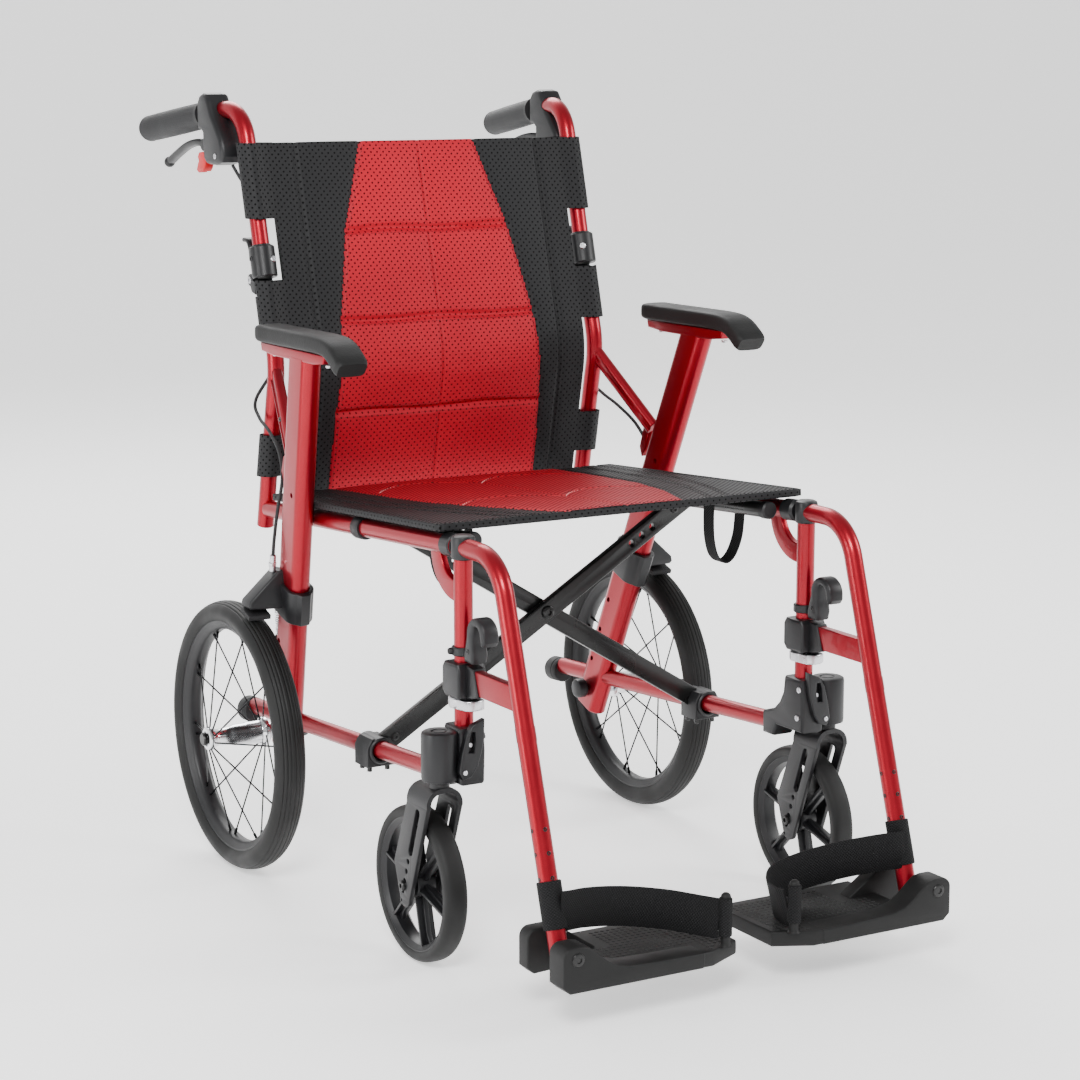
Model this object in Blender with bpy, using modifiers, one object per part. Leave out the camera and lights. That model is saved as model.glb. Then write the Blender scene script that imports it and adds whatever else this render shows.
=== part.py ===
"""Folding transit wheelchair: cross-brace frame, spoked rear wheels, casters, swing-away
footrests, half-folding back and attendant brakes.

Metres, +Z up, floor at z = 0, the chair faces -Y. Right and left are the seated person's, so
the right side has negative X. Side pieces are written once, with y measured from the rear
axle, and `at` places them on either side."""

import math

import bmesh
import bpy
from mathutils import Matrix, Vector

# Driving dimensions
AXLE_Y = 0.2064           # rear axle, from the middle of the chair's length
SIDES = (("right", -1), ("left", 1))
GAP = 0.0004              # clearance between neighbouring pieces
TUBE_R = 0.011
FRAME_X = 0.238           # side frames, from the chair's centre plane
RAIL_SLOPE = 0.0634       # both rails rise this much per metre towards the front
LOWER_RAIL_Z = 0.1923     # lower rail at the rear axle
SEAT_RAIL_Z = 0.4630      # seat rail at the rear axle
UPRIGHT_Y = -0.493
WHEEL_R, WHEEL_X = 0.175, 0.304
CASTER_R, CASTER_X, CASTER_Y = 0.0927, 0.2717, -0.448
STEM_Y = -0.496
CROSS_Y = -0.264          # plane between the two crossed arms
CROSS_Z = 0.3547
SEAT_TUBE_X, SEAT_TUBE_Z, SEAT_TUBE_R = 0.206, 0.4810, 0.010
STRUT_FOOT, STRUT_HEAD = (0.233, 0.004, 0.148), (0.2844, -0.183, 0.6925)
STRUT_LONG, STRUT_THICK, STRUT_TOP = 0.054, 0.026, 0.680
BACK_PIVOT = (0.049, 0.757)
CANE_SLOPE = 0.27
HANGER_SLOPE = 0.315
FOOT_PIVOT_Z = 0.084
SOLE_TOP, SOLE_BOTTOM = 0.066, 0.048

PAINT = ("red_paint", (0.60, 0.012, 0.018), 0.28, 0.35)
BLACK = ("black_plastic", (0.018, 0.018, 0.020), 0.50, 0.0)
TYRE = ("tyre_rubber", (0.012, 0.012, 0.013), 0.80, 0.0)
RUBBER = ("grip_rubber", (0.020, 0.020, 0.022), 0.75, 0.0)
STEEL = ("black_steel", (0.012, 0.012, 0.013), 0.35, 0.6)
CHROME = ("chrome", (0.75, 0.76, 0.78), 0.12, 1.0)
FABRIC = ("seat_fabric", (0.025, 0.025, 0.027), 0.70, 0.0)
WEBBING = ("webbing", (0.015, 0.015, 0.016), 0.85, 0.0)
LOCK_RED = ("red_plastic", (0.65, 0.010, 0.015), 0.40, 0.0)

for leftover in list(bpy.data.objects):
    bpy.data.objects.remove(leftover, do_unlink=True)
parts = bpy.data.collections.new("wheelchair")
cutters = bpy.data.collections.new("cutters")
for collection in (parts, cutters):
    bpy.context.scene.collection.children.link(collection)


# Helpers

def material(look):
    name, colour, roughness, metallic = look
    made = bpy.data.materials.get(name) or bpy.data.materials.new(name)
    made.use_nodes = True
    shader = made.node_tree.nodes["Principled BSDF"]
    shader.inputs["Base Color"].default_value = (*colour, 1)
    shader.inputs["Roughness"].default_value = roughness
    shader.inputs["Metallic"].default_value = metallic
    made.diffuse_color = (*colour, 1)
    return made


def at(side, x, y, z):
    """A point of one side's design, in the chair's frame."""
    return Vector((side * x, y + AXLE_Y, z))


def rail_z(y):
    return LOWER_RAIL_Z - y * RAIL_SLOPE


def seat_rail_z(y):
    return SEAT_RAIL_Z - y * RAIL_SLOPE


def post_y(z):
    """The back post and cane, which bend at z = 0.65."""
    if z < 0.65:
        return 0.003 + (0.65 - z) * 0.204
    return 0.003 + (z - 0.65) * CANE_SLOPE


def strut_at(z):
    """Centre of the oval strut at a height."""
    share = (z - STRUT_FOOT[2]) / (STRUT_HEAD[2] - STRUT_FOOT[2])
    return Vector(STRUT_FOOT).lerp(Vector(STRUT_HEAD), share)


def arc(centre, radius, start, end, steps):
    """Points on an arc in a plane, angles in degrees."""
    angles = [math.radians(start + (end - start) * i / steps) for i in range(steps + 1)]
    return [(centre[0] + radius * math.cos(a), centre[1] + radius * math.sin(a)) for a in angles]


def stadium(length, width, steps=6):
    half = (length - width) / 2
    return (arc((half, 0), width / 2, -90, 90, steps)
            + arc((-half, 0), width / 2, 90, 270, steps))


def rounded(points, radius, steps=4):
    """A path in space with its inner corners rounded."""
    points = [Vector(p) for p in points]
    path = [points[0]]
    for before, corner, after in zip(points, points[1:], points[2:]):
        back, ahead = (before - corner).normalized(), (after - corner).normalized()
        half_angle = back.angle(ahead) / 2
        reach = radius / math.tan(half_angle)
        middle = corner + (back + ahead).normalized() * (radius / math.sin(half_angle))
        start, end = corner + back * reach - middle, corner + ahead * reach - middle
        turn = start.rotation_difference(end)
        for i in range(steps + 1):
            path.append(middle + Matrix.Rotation(turn.angle * i / steps, 3, turn.axis) @ start)
    return path + [points[-1]]


def finish(bm, name, look):
    mesh = bpy.data.meshes.new(name)
    bmesh.ops.recalc_face_normals(bm, faces=bm.faces)
    bm.to_mesh(mesh)
    bm.free()
    mesh.shade_smooth()
    mesh.set_sharp_from_angle(angle=math.radians(35))
    mesh.materials.append(material(look))
    made = bpy.data.objects.new(name, mesh)
    parts.objects.link(made)
    return made


def box(name, look, low, high):
    bm = bmesh.new()
    bmesh.ops.create_cube(bm, size=1)
    low, high = Vector(low), Vector(high)
    size = high - low
    scale = Matrix.Diagonal((abs(size.x), abs(size.y), abs(size.z), 1))
    bmesh.ops.transform(bm, matrix=Matrix.Translation((low + high) / 2) @ scale, verts=bm.verts)
    return finish(bm, name, look)


def rod(name, look, start, end, radius, sides=14, end_radius=None):
    start, end = Vector(start), Vector(end)
    bm = bmesh.new()
    bmesh.ops.create_cone(bm, cap_ends=True, segments=sides, radius1=radius,
                          radius2=radius if end_radius is None else end_radius,
                          depth=(end - start).length)
    turn = (end - start).to_track_quat("Z", "Y").to_matrix().to_4x4()
    bmesh.ops.transform(bm, matrix=Matrix.Translation((start + end) / 2) @ turn, verts=bm.verts)
    return finish(bm, name, look)


def solid_from(curve, name, look, matrix):
    """A mesh object from a curve, with its caps welded."""
    guide = bpy.data.objects.new(name + "_curve", curve)
    guide.matrix_world = matrix
    parts.objects.link(guide)
    bpy.context.view_layer.update()
    evaluated = guide.evaluated_get(bpy.context.evaluated_depsgraph_get())
    mesh = bpy.data.meshes.new_from_object(evaluated)
    bm = bmesh.new()
    bm.from_mesh(mesh)
    bmesh.ops.transform(bm, matrix=matrix, verts=bm.verts)
    bmesh.ops.remove_doubles(bm, verts=bm.verts, dist=0.00002)
    bpy.data.objects.remove(guide, do_unlink=True)
    return finish(bm, name, look)


def tube(name, look, path, radius, resolution=2):
    curve = bpy.data.curves.new(name, "CURVE")
    curve.dimensions = "3D"
    curve.bevel_depth = radius
    curve.bevel_resolution = resolution
    curve.use_fill_caps = True
    spline = curve.splines.new("POLY")
    spline.points.add(len(path) - 1)
    for point, place in zip(spline.points, path):
        point.co = (*place, 1)
    return solid_from(curve, name, look, Matrix.Identity(4))


def prism(name, look, outline, thickness, matrix):
    """A flat outline with the given thickness, centred on the matrix's XY plane."""
    curve = bpy.data.curves.new(name, "CURVE")
    curve.dimensions = "2D"
    curve.fill_mode = "BOTH"
    curve.extrude = thickness / 2
    spline = curve.splines.new("POLY")
    spline.points.add(len(outline) - 1)
    for point, (u, v) in zip(spline.points, outline):
        point.co = (u, v, 0, 1)
    spline.use_cyclic_u = True
    return solid_from(curve, name, look, matrix)


def basis(u, v, origin):
    """A matrix whose first two axes are u and v."""
    u, v = Vector(u).normalized(), Vector(v).normalized()
    turn = Matrix((u, v, u.cross(v))).transposed().to_4x4()
    return Matrix.Translation(origin) @ turn


def side_plate(name, look, outline, thickness, side, x):
    """An outline of (y, z) points, y from the rear axle, standing in a plane of constant x."""
    return prism(name, look, outline, thickness,
                 basis((0, 1, 0), (0, 0, 1), (side * x, AXLE_Y, 0)))


def ring(name, look, profile, centre, steps=40):
    """A closed (radius, offset) profile turned about an axle along X."""
    mesh = bpy.data.meshes.new(name)
    count = len(profile)
    mesh.from_pydata([(r, 0, offset) for r, offset in profile],
                     [(i, (i + 1) % count) for i in range(count)], [])
    mesh.materials.append(material(look))
    made = bpy.data.objects.new(name, mesh)
    parts.objects.link(made)
    made.location = centre
    made.rotation_euler = (0, math.radians(90), 0)
    turn = made.modifiers.new("turn", "SCREW")
    turn.angle = math.radians(360)
    turn.steps = turn.render_steps = steps
    turn.use_merge_vertices = True
    turn.merge_threshold = 0.00005
    turn.use_smooth_shade = True
    return made


def change(made, tool, operation):
    """Cut a piece with a tool, or join the tool's shape to it."""
    parts.objects.unlink(tool)
    cutters.objects.link(tool)
    tool.hide_render = True
    tool.display_type = "WIRE"
    modifier = made.modifiers.new(operation.lower(), "BOOLEAN")
    modifier.operation = operation
    modifier.solver = "EXACT"
    modifier.object = tool


def cut(made, *tools):
    for tool in tools:
        change(made, tool, "DIFFERENCE")


def join(made, *tools):
    for tool in tools:
        change(made, tool, "UNION")


# Side frames

def lower_rail(side, label):
    rear, front = 0.0865, -0.452
    rail = rod(f"lower_rail_{label}", PAINT, at(side, FRAME_X, rear, rail_z(rear)),
               at(side, FRAME_X, front, rail_z(front)), TUBE_R)
    tip = rod("rail_tip", BLACK, at(side, FRAME_X, 0.115, rail_z(0.115)),
              at(side, FRAME_X, 0.085, rail_z(0.085)), 0.017)
    join(rail, tip)


def seat_rail(side, label):
    """Seat rail, front upright and the hooked gusset between them."""
    rail_front = -0.475
    rail = rod(f"seat_rail_{label}", PAINT, at(side, FRAME_X, 0.0265, seat_rail_z(0.0265)),
               at(side, FRAME_X, rail_front, seat_rail_z(rail_front)), TUBE_R)
    upright = rod("upright", PAINT, at(side, FRAME_X, UPRIGHT_Y, 0.240),
                  at(side, FRAME_X, UPRIGHT_Y, 0.4804), TUBE_R)
    hook = (-0.480, 0.488)
    gusset = side_plate("gusset", PAINT, arc(hook, 0.0585, -4, -100, 8)
                        + arc(hook, 0.036, -100, -4, 8), 0.006, side, FRAME_X)
    cap = rod("cap", BLACK, at(side, FRAME_X, -0.4785, seat_rail_z(-0.4785)),
              at(side, FRAME_X, -0.452, seat_rail_z(-0.452)), 0.0135)
    join(rail, gusset, upright, cap)


def strut(side, label):
    """Oval strut from the rear axle up to the armrest, with the armrest's bracket."""
    foot, head = at(side, *STRUT_FOOT), at(side, *STRUT_HEAD)
    along = (head - foot).normalized()
    fore = (Vector((0, -1, 0)) - along * along.dot(Vector((0, -1, 0)))).normalized()
    bar = prism(f"strut_{label}", PAINT, stadium(STRUT_LONG, STRUT_THICK),
                (head - foot).length, basis(fore, along.cross(fore), (foot + head) / 2))
    above = box("above", PAINT, at(side, 0.20, -0.30, STRUT_TOP), at(side, 0.34, -0.05, 0.75))
    rail = rod("rail", PAINT, at(side, FRAME_X, 0.09, rail_z(0.09)),
               at(side, FRAME_X, -0.12, rail_z(-0.12)), TUBE_R + GAP)
    axle = rod("axle", CHROME, at(side, 0.20, 0, WHEEL_R), at(side, 0.28, 0, WHEEL_R), 0.0062)
    bracket = box("bracket", PAINT, at(side, 0.270, -0.258, STRUT_TOP - 0.001),
                  at(side, 0.296, -0.076, 0.6915))
    cut(bar, above, rail, axle)
    join(bar, bracket)


def back_post(side, label):
    """Lower back post with the oval brace that props it against the strut."""
    post = tube(f"back_post_{label}", PAINT, [at(side, FRAME_X, post_y(z), z)
                for z in (0.437, 0.60, 0.65, 0.70, 0.7345)], TUBE_R)
    top, foot = at(side, 0.239, 0.004, 0.642), at(side, 0.266, -0.099, 0.549)
    along = (foot - top).normalized()
    flat = along.cross(Vector((1, 0, 0))).normalized()
    brace = prism("brace", PAINT, stadium(0.022, 0.014, 4), (foot - top).length,
                  basis(flat, along.cross(flat), (foot + top) / 2))
    join(post, brace)


def hinge_bracket(side, label):
    """Lower half of the back hinge: a socket with two ears and the pin."""
    y, z = BACK_PIVOT
    seat = rod(f"hinge_bracket_{label}", BLACK, at(side, FRAME_X, post_y(0.730), 0.730),
               at(side, FRAME_X, post_y(0.762), 0.762), 0.0155)
    below = box("post_end", BLACK, at(side, 0.20, -0.02, 0.70), at(side, 0.28, 0.08, 0.7385))
    above = box("above", BLACK, at(side, 0.20, -0.02, 0.7565), at(side, 0.28, 0.08, 0.78))
    slot = box("slot", BLACK, at(side, FRAME_X - 0.0079, 0.0405, 0.73),
               at(side, FRAME_X + 0.0079, 0.08, 0.78))
    cut(seat, below, above, slot)
    outline = [(0.030, 0.7555), (0.030, 0.7395), (0.045, 0.742)] + arc((y, z), 0.008, -90, 180, 8)
    for offset in (-0.011, 0.011):
        ear = side_plate("ear", BLACK, outline, 0.006, side, FRAME_X + offset)
        join(seat, ear)
    pin = rod("pin", CHROME, at(side, FRAME_X - 0.016, y, z), at(side, FRAME_X + 0.016, y, z), 0.003)
    join(seat, pin)


def arm_pad(side, label):
    outline = [(-0.072, 0.692), (-0.072, 0.708), (-0.078, 0.714), (-0.262, 0.714),
               (-0.294, 0.699), (-0.303, 0.684), (-0.301, 0.673), (-0.290, 0.671), (-0.262, 0.692)]
    pad = side_plate(f"arm_pad_{label}", BLACK, outline, 0.041, side, 0.2825)
    round_edges(pad, 0.004)


def round_edges(made, width):
    bevel = made.modifiers.new("rounding", "BEVEL")
    bevel.width = width
    bevel.segments = 2
    bevel.limit_method = "ANGLE"
    bevel.angle_limit = math.radians(50)


# Wheels

def rear_wheel(side, label):
    centre = at(side, WHEEL_X, 0, WHEEL_R)
    mid, half = 0.1604, 0.0146
    section = [(mid + half * math.cos(a), -0.021 * math.sin(a))
               for a in [math.radians(-180 + 36 * i) for i in range(10)]]
    ring(f"rear_tyre_{label}", TYRE, section, centre)
    rim = ring(f"rear_rim_{label}", BLACK,
               [(0.1455, 0.010), (0.1455, -0.010), (0.139, -0.007), (0.139, 0.007)], centre)
    hub_in, hub_out, bore = -0.040, 0.044, 0.0062
    hub = rod("hub", CHROME, at(side, WHEEL_X + hub_in, 0, WHEEL_R),
              at(side, WHEEL_X + hub_out, 0, WHEEL_R), 0.019, 16, 0.013)
    join(rim, hub)
    spoke_pairs = 10
    for i in range(spoke_pairs):
        for lean, x in ((1, hub_in + 0.006), (-1, hub_out - 0.008)):
            turn = 2 * math.pi * (i + 0.25 * (1 - lean)) / spoke_pairs
            rim_turn = turn + lean * 0.42
            inner = at(side, WHEEL_X + x, 0.009 * math.cos(turn), WHEEL_R + 0.009 * math.sin(turn))
            outer = at(side, WHEEL_X, 0.142 * math.cos(rim_turn), WHEEL_R + 0.142 * math.sin(rim_turn))
            join(rim, rod("spoke", STEEL, inner, outer, 0.0012, 5))
    cut(rim, rod("bore", CHROME, at(side, 0.20, 0, WHEEL_R), at(side, 0.40, 0, WHEEL_R), bore))
    axle = rod(f"rear_axle_{label}", STEEL, at(side, 0.208, 0, WHEEL_R),
               at(side, 0.352, 0, WHEEL_R), 0.0055, 12)
    join(axle, rod("nut", STEEL, at(side, 0.206, 0, WHEEL_R), at(side, 0.2205, 0, WHEEL_R), 0.0105, 12),
         rod("washer", STEEL, at(side, 0.2515, 0, WHEEL_R), at(side, 0.2625, 0, WHEEL_R), 0.011, 12),
         rod("end", STEEL, at(side, 0.3485, 0, WHEEL_R), at(side, 0.354, 0, WHEEL_R), 0.0085, 12))


def caster(side, label):
    centre = at(side, CASTER_X, CASTER_Y, CASTER_R)
    mid, half = 0.0869, 0.0058
    section = [(mid + half * math.cos(a), -0.0147 * math.sin(a))
               for a in [math.radians(-180 + 45 * i) for i in range(8)]]
    ring(f"caster_tyre_{label}", TYRE, section, centre, 32)
    rim = ring(f"caster_rim_{label}", BLACK,
               [(0.0805, 0.010), (0.0805, -0.010), (0.073, -0.008), (0.073, 0.008)], centre, 32)
    join(rim, rod("hub", BLACK, centre - Vector((0.013, 0, 0)), centre + Vector((0.013, 0, 0)), 0.017))
    for i in range(5):
        turn = Matrix.Rotation(2 * math.pi * i / 5, 4, "X")
        spoke = box("spoke", BLACK, (-0.007, 0.008, -0.0055), (0.007, 0.076, 0.0055))
        spoke.matrix_world = Matrix.Translation(centre) @ turn
        join(rim, spoke)
    cut(rim, rod("bore", STEEL, centre - Vector((0.02, 0, 0)), centre + Vector((0.02, 0, 0)), 0.0046))
    fork = box(f"caster_fork_{label}", BLACK, at(side, CASTER_X - 0.024, -0.514, 0.2035),
               at(side, CASTER_X + 0.024, -0.472, 0.2195))
    cheek = ([(-0.512, 0.2195), (-0.512, 0.198)]
             + arc((CASTER_Y, CASTER_R), 0.015, 200, 380, 8) + [(-0.462, 0.205), (-0.472, 0.2195)])
    for offset in (-0.0205, 0.0205):
        plate = side_plate("cheek", BLACK, cheek, 0.006, side, CASTER_X + offset)
        join(fork, plate)
    window = ([(-0.500, 0.190)] + arc((-0.462, 0.128), 0.005, 200, 360, 4) + [(-0.478, 0.193)])
    cut(fork, side_plate("window", BLACK, window, 0.07, side, CASTER_X))
    join(fork, rod("axle", STEEL, at(side, CASTER_X - 0.026, CASTER_Y, CASTER_R),
                   at(side, CASTER_X + 0.026, CASTER_Y, CASTER_R), 0.004, 12),
         rod("stem", STEEL, at(side, CASTER_X, STEM_Y, 0.215), at(side, CASTER_X, STEM_Y, 0.268), 0.006, 12),
         rod("washer", STEEL, at(side, CASTER_X, STEM_Y, 0.218), at(side, CASTER_X, STEM_Y, 0.2265), 0.010, 12))


def caster_housing(side, label):
    """Elbow casting: takes the lower rail, the upright and the caster stem."""
    outline = [(-0.429, 0.205), (-0.429, 0.235), (-0.452, 0.243), (-0.470, 0.262), (-0.474, 0.288),
               (-0.512, 0.288), (-0.514, 0.2215), (-0.457, 0.2212), (-0.450, 0.2045)]
    elbow = side_plate(f"caster_housing_{label}", BLACK, outline, 0.034, side, FRAME_X)
    join(elbow, rod("stem_housing", BLACK, at(side, CASTER_X, STEM_Y, 0.228),
                    at(side, CASTER_X, STEM_Y, 0.284), 0.021, 16))
    cut(elbow, rod("rail", PAINT, at(side, FRAME_X, -0.40, rail_z(-0.40)),
                   at(side, FRAME_X, -0.455, rail_z(-0.455)), TUBE_R + GAP),
        rod("upright", PAINT, at(side, FRAME_X, UPRIGHT_Y, 0.238),
            at(side, FRAME_X, UPRIGHT_Y, 0.30), TUBE_R + GAP),
        rod("stem", STEEL, at(side, CASTER_X, STEM_Y, 0.20), at(side, CASTER_X, STEM_Y, 0.272), 0.0066))


# Footrests

def hanger(side, label):
    """Swing-away tube with its top cap, link bar, clamp round the upright and footplate bolt."""
    def tube_y(z):
        return -0.594 - (0.440 - z) * HANGER_SLOPE
    corner_y = tube_y(0.4945)
    path = rounded([at(side, FRAME_X, -0.500, 0.4945), at(side, FRAME_X, corner_y, 0.4945),
                    at(side, FRAME_X, tube_y(0.060), 0.060)], 0.058, 5)
    bar = tube(f"hanger_{label}", PAINT, path, TUBE_R)
    cap = rod("cap", BLACK, at(side, FRAME_X, UPRIGHT_Y, 0.481), at(side, FRAME_X, UPRIGHT_Y, 0.508), 0.0136)
    link = box("link", PAINT, at(side, FRAME_X - 0.006, tube_y(0.344) + 0.004, 0.330),
               at(side, FRAME_X + 0.006, -0.512, 0.358))
    clamp = box("clamp", BLACK, at(side, FRAME_X - 0.018, -0.5135, 0.322),
                at(side, FRAME_X + 0.018, -0.474, 0.362))
    bolt = rod("bolt", STEEL, at(side, FRAME_X, -0.757, FOOT_PIVOT_Z),
               at(side, FRAME_X, -0.661, FOOT_PIVOT_Z), 0.005, 12)
    join(bar, cap, link, clamp, bolt)
    cut(bar, rod("upright", PAINT, at(side, FRAME_X, UPRIGHT_Y, 0.30),
                 at(side, FRAME_X, UPRIGHT_Y, 0.40), TUBE_R + GAP))


def latch_lever(side, label):
    outline = [(-0.512, 0.3645), (-0.528, 0.3645), (-0.529, 0.398), (-0.540, 0.408), (-0.552, 0.404),
               (-0.556, 0.392), (-0.566, 0.392), (-0.566, 0.408), (-0.552, 0.421), (-0.532, 0.421),
               (-0.514, 0.408)]
    side_plate(f"latch_lever_{label}", BLACK, list(reversed(outline)), 0.014, side, FRAME_X)


def footplate(side, label):
    outer, inner, chamfer = 0.215, 0.024, 0.068
    front, rear = -0.758, -0.622
    outline = [(outer, front), (chamfer, front), (inner, front + 0.022), (inner, rear + 0.012),
               (inner + 0.012, rear), (outer, rear)]
    sole = prism(f"footplate_{label}", BLACK, [(side * x, y) for x, y in outline],
                 SOLE_TOP - SOLE_BOTTOM,
                 basis((1, 0, 0), (0, 1, 0), (0, AXLE_Y, (SOLE_TOP + SOLE_BOTTOM) / 2)))
    lug = [(0.262, 0.050), (0.262, 0.090), (0.254, 0.100), (0.226, 0.100), (0.170, 0.066), (0.170, 0.048),
           (0.250, 0.048)]
    for near, far in ((-0.758, -0.7265), (-0.6805, -0.660)):
        ear = prism("lug", BLACK, [(side * x, z) for x, z in lug], far - near,
                    basis((1, 0, 0), (0, 0, 1), (0, (near + far) / 2 + AXLE_Y, 0)))
        join(sole, ear)
    join(sole, rod("heel_post", BLACK, at(side, 0.046, -0.748, 0.060), at(side, 0.048, -0.748, 0.127), 0.006, 12))
    cut(sole, rod("bore", STEEL, at(side, FRAME_X, -0.77, FOOT_PIVOT_Z),
                  at(side, FRAME_X, -0.65, FOOT_PIVOT_Z), 0.0054, 12))


def heel_strap(side, label):
    """Webbing band from the hanger tube, round behind the heel, to the post on the plate."""
    width, thickness, bulge, steps = 0.044, 0.003, 0.075, 8
    outer, inner = at(side, 0.219, -0.699, 0.131), at(side, 0.060, -0.742, 0.101)
    along = (inner - outer).normalized()
    back = (Vector((0, 1, 0)) - along * along.y).normalized()
    length = (inner - outer).length
    run = [(length * (i / steps - 0.5), bulge * math.sin(math.pi * i / steps)) for i in range(steps + 1)]
    outline = run + [(u, v - thickness) for u, v in reversed(run)]
    prism(f"heel_strap_{label}", WEBBING, outline, width, basis(along, back, (outer + inner) / 2))


# Brakes

def brake_block(side, label):
    """Clamp round the strut with a wing that carries the brake shoe over the tyre."""
    foot, head = strut_at(0.342), strut_at(0.384)
    foot, head = at(side, *foot), at(side, *head)
    along = (head - foot).normalized()
    fore = (Vector((0, -1, 0)) - along * along.dot(Vector((0, -1, 0)))).normalized()
    place = basis(fore, along.cross(fore), (foot + head) / 2)
    clamp = prism(f"brake_block_{label}", BLACK, stadium(0.064, 0.036), (head - foot).length, place)
    wing = [(0.262, 0.400), (0.270, 0.402), (0.316, 0.366), (0.316, 0.3575), (0.281, 0.3575), (0.262, 0.350)]
    near, far = -0.074, -0.047
    join(clamp, prism("wing", BLACK, [(side * x, z) for x, z in wing], far - near,
                      basis((1, 0, 0), (0, 0, 1), (0, (near + far) / 2 + AXLE_Y, 0))))
    cut(clamp, prism("strut_hole", PAINT, stadium(STRUT_LONG + 2 * GAP, STRUT_THICK + 2 * GAP), 0.12, place))


def brake_shoe(side, label):
    lean = math.radians(19)
    shoe = box(f"brake_shoe_{label}", RUBBER, (-0.015, -0.013, -0.0035), (0.015, 0.013, 0.0035))
    reach = WHEEL_R + 0.0017 + 0.0035 + 0.0006
    shoe.matrix_world = (Matrix.Translation(at(side, WHEEL_X - 0.003, -reach * math.sin(lean),
                                               WHEEL_R + reach * math.cos(lean)))
                         @ Matrix.Rotation(lean, 4, "X"))


def brake_cable(side, label):
    """Bowden cable from the lever housing, down behind the back post, to the brake."""
    behind = 0.2365 + side * 0.0165
    route = [(0.279, -0.062, 0.4035), (0.279, -0.070, 0.440), (0.277, -0.078, 0.480),
             (0.271, -0.080, 0.518), (0.265, -0.060, 0.548), (0.260, -0.020, 0.570),
             (0.257, 0.018, 0.584), (0.250, 0.042, 0.604), (behind, 0.045, 0.650),
             (behind, 0.049, 0.705), (behind, 0.0630, 0.760), (behind, 0.0745, 0.800),
             (behind, 0.0880, 0.850), (0.238, 0.099, 0.880), (0.246, 0.111, 0.8985)]
    tube(f"brake_cable_{label}", RUBBER, [at(side, *point) for point in route], 0.0022)


# Folding back

def cane_path(side):
    grip_start = at(side, 0.2490, 0.178, 0.9644)
    base = at(side, FRAME_X, post_y(0.8005), 0.8005)
    corner = at(side, FRAME_X + 0.001, post_y(0.9770), 0.9770)
    return rounded([base, corner, grip_start], 0.050, 6)


def back_cane(side, label):
    tube(f"back_cane_{label}", PAINT, cane_path(side), TUBE_R)
    start, end = at(side, 0.2494, 0.1815, 0.9639), at(side, 0.2680, 0.343, 0.9408)
    grip = rod(f"grip_{label}", RUBBER, start, end, 0.0178, 18)
    round_edges(grip, 0.004)


def cane_collar(side, label):
    """Upper half of the back hinge, clamped on the cane."""
    y, z = BACK_PIVOT
    collar = rod(f"cane_collar_{label}", BLACK, at(side, FRAME_X, post_y(0.748), 0.748),
                 at(side, FRAME_X, post_y(0.800), 0.800), 0.0165, 16)
    below = box("below", BLACK, at(side, 0.20, -0.02, 0.73), at(side, 0.28, 0.09, 0.7570))
    ears = box("ears", BLACK, at(side, 0.20, 0.0406, 0.73), at(side, 0.28, 0.09, 0.7665))
    cut(collar, below, ears)
    tongue = arc((y, z), 0.008, 180, 360, 8) + [(0.054, 0.772), (0.036, 0.772), (0.036, 0.759)]
    join(collar, side_plate("tongue", BLACK, tongue, 0.015, side, FRAME_X))
    cut(collar, rod("pin", CHROME, at(side, 0.20, y, z), at(side, 0.28, y, z), 0.0034))


def fold_lever(side, label):
    outline = [(0.0600, 0.778), (0.0680, 0.776), (0.0720, 0.792), (0.0900, 0.801), (0.0920, 0.809),
               (0.0790, 0.814), (0.0640, 0.803)]
    side_plate(f"fold_lever_{label}", BLACK, outline, 0.016, side, FRAME_X)


def lever_housing(side, label):
    outline = [(0.098, 0.912), (0.110, 0.902), (0.150, 0.900), (0.160, 0.906), (0.161, 0.941),
               (0.177, 0.945), (0.177, 0.986), (0.160, 0.993), (0.146, 0.989), (0.132, 0.966),
               (0.104, 0.936)]
    housing = side_plate(f"lever_housing_{label}", BLACK, outline, 0.034, side, 0.2500)
    round_edges(housing, 0.003)
    cut(housing, tube("cane", PAINT, cane_path(side), TUBE_R + GAP))


def brake_lever(side, label):
    path = [at(side, 0.2540, y, z) for y, z in ((0.1700, 0.9250), (0.200, 0.9275), (0.235, 0.922),
                                                (0.268, 0.911), (0.300, 0.899))]
    lever = tube(f"brake_lever_{label}", BLACK, path, 0.0055)
    join(lever, rod("barrel", BLACK, at(side, 0.246, 0.1705, 0.925), at(side, 0.262, 0.1705, 0.925), 0.008),
         rod("tip", BLACK, at(side, 0.246, 0.303, 0.8985), at(side, 0.262, 0.303, 0.8985), 0.007))


def lock_latch(side, label):
    outline = [(0.164, 0.912), (0.164, 0.902), (0.170, 0.893), (0.186, 0.893), (0.190, 0.906), (0.178, 0.912)]
    side_plate(f"lock_latch_{label}", LOCK_RED, outline, 0.009, side, 0.2540)


# Cross brace

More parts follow.
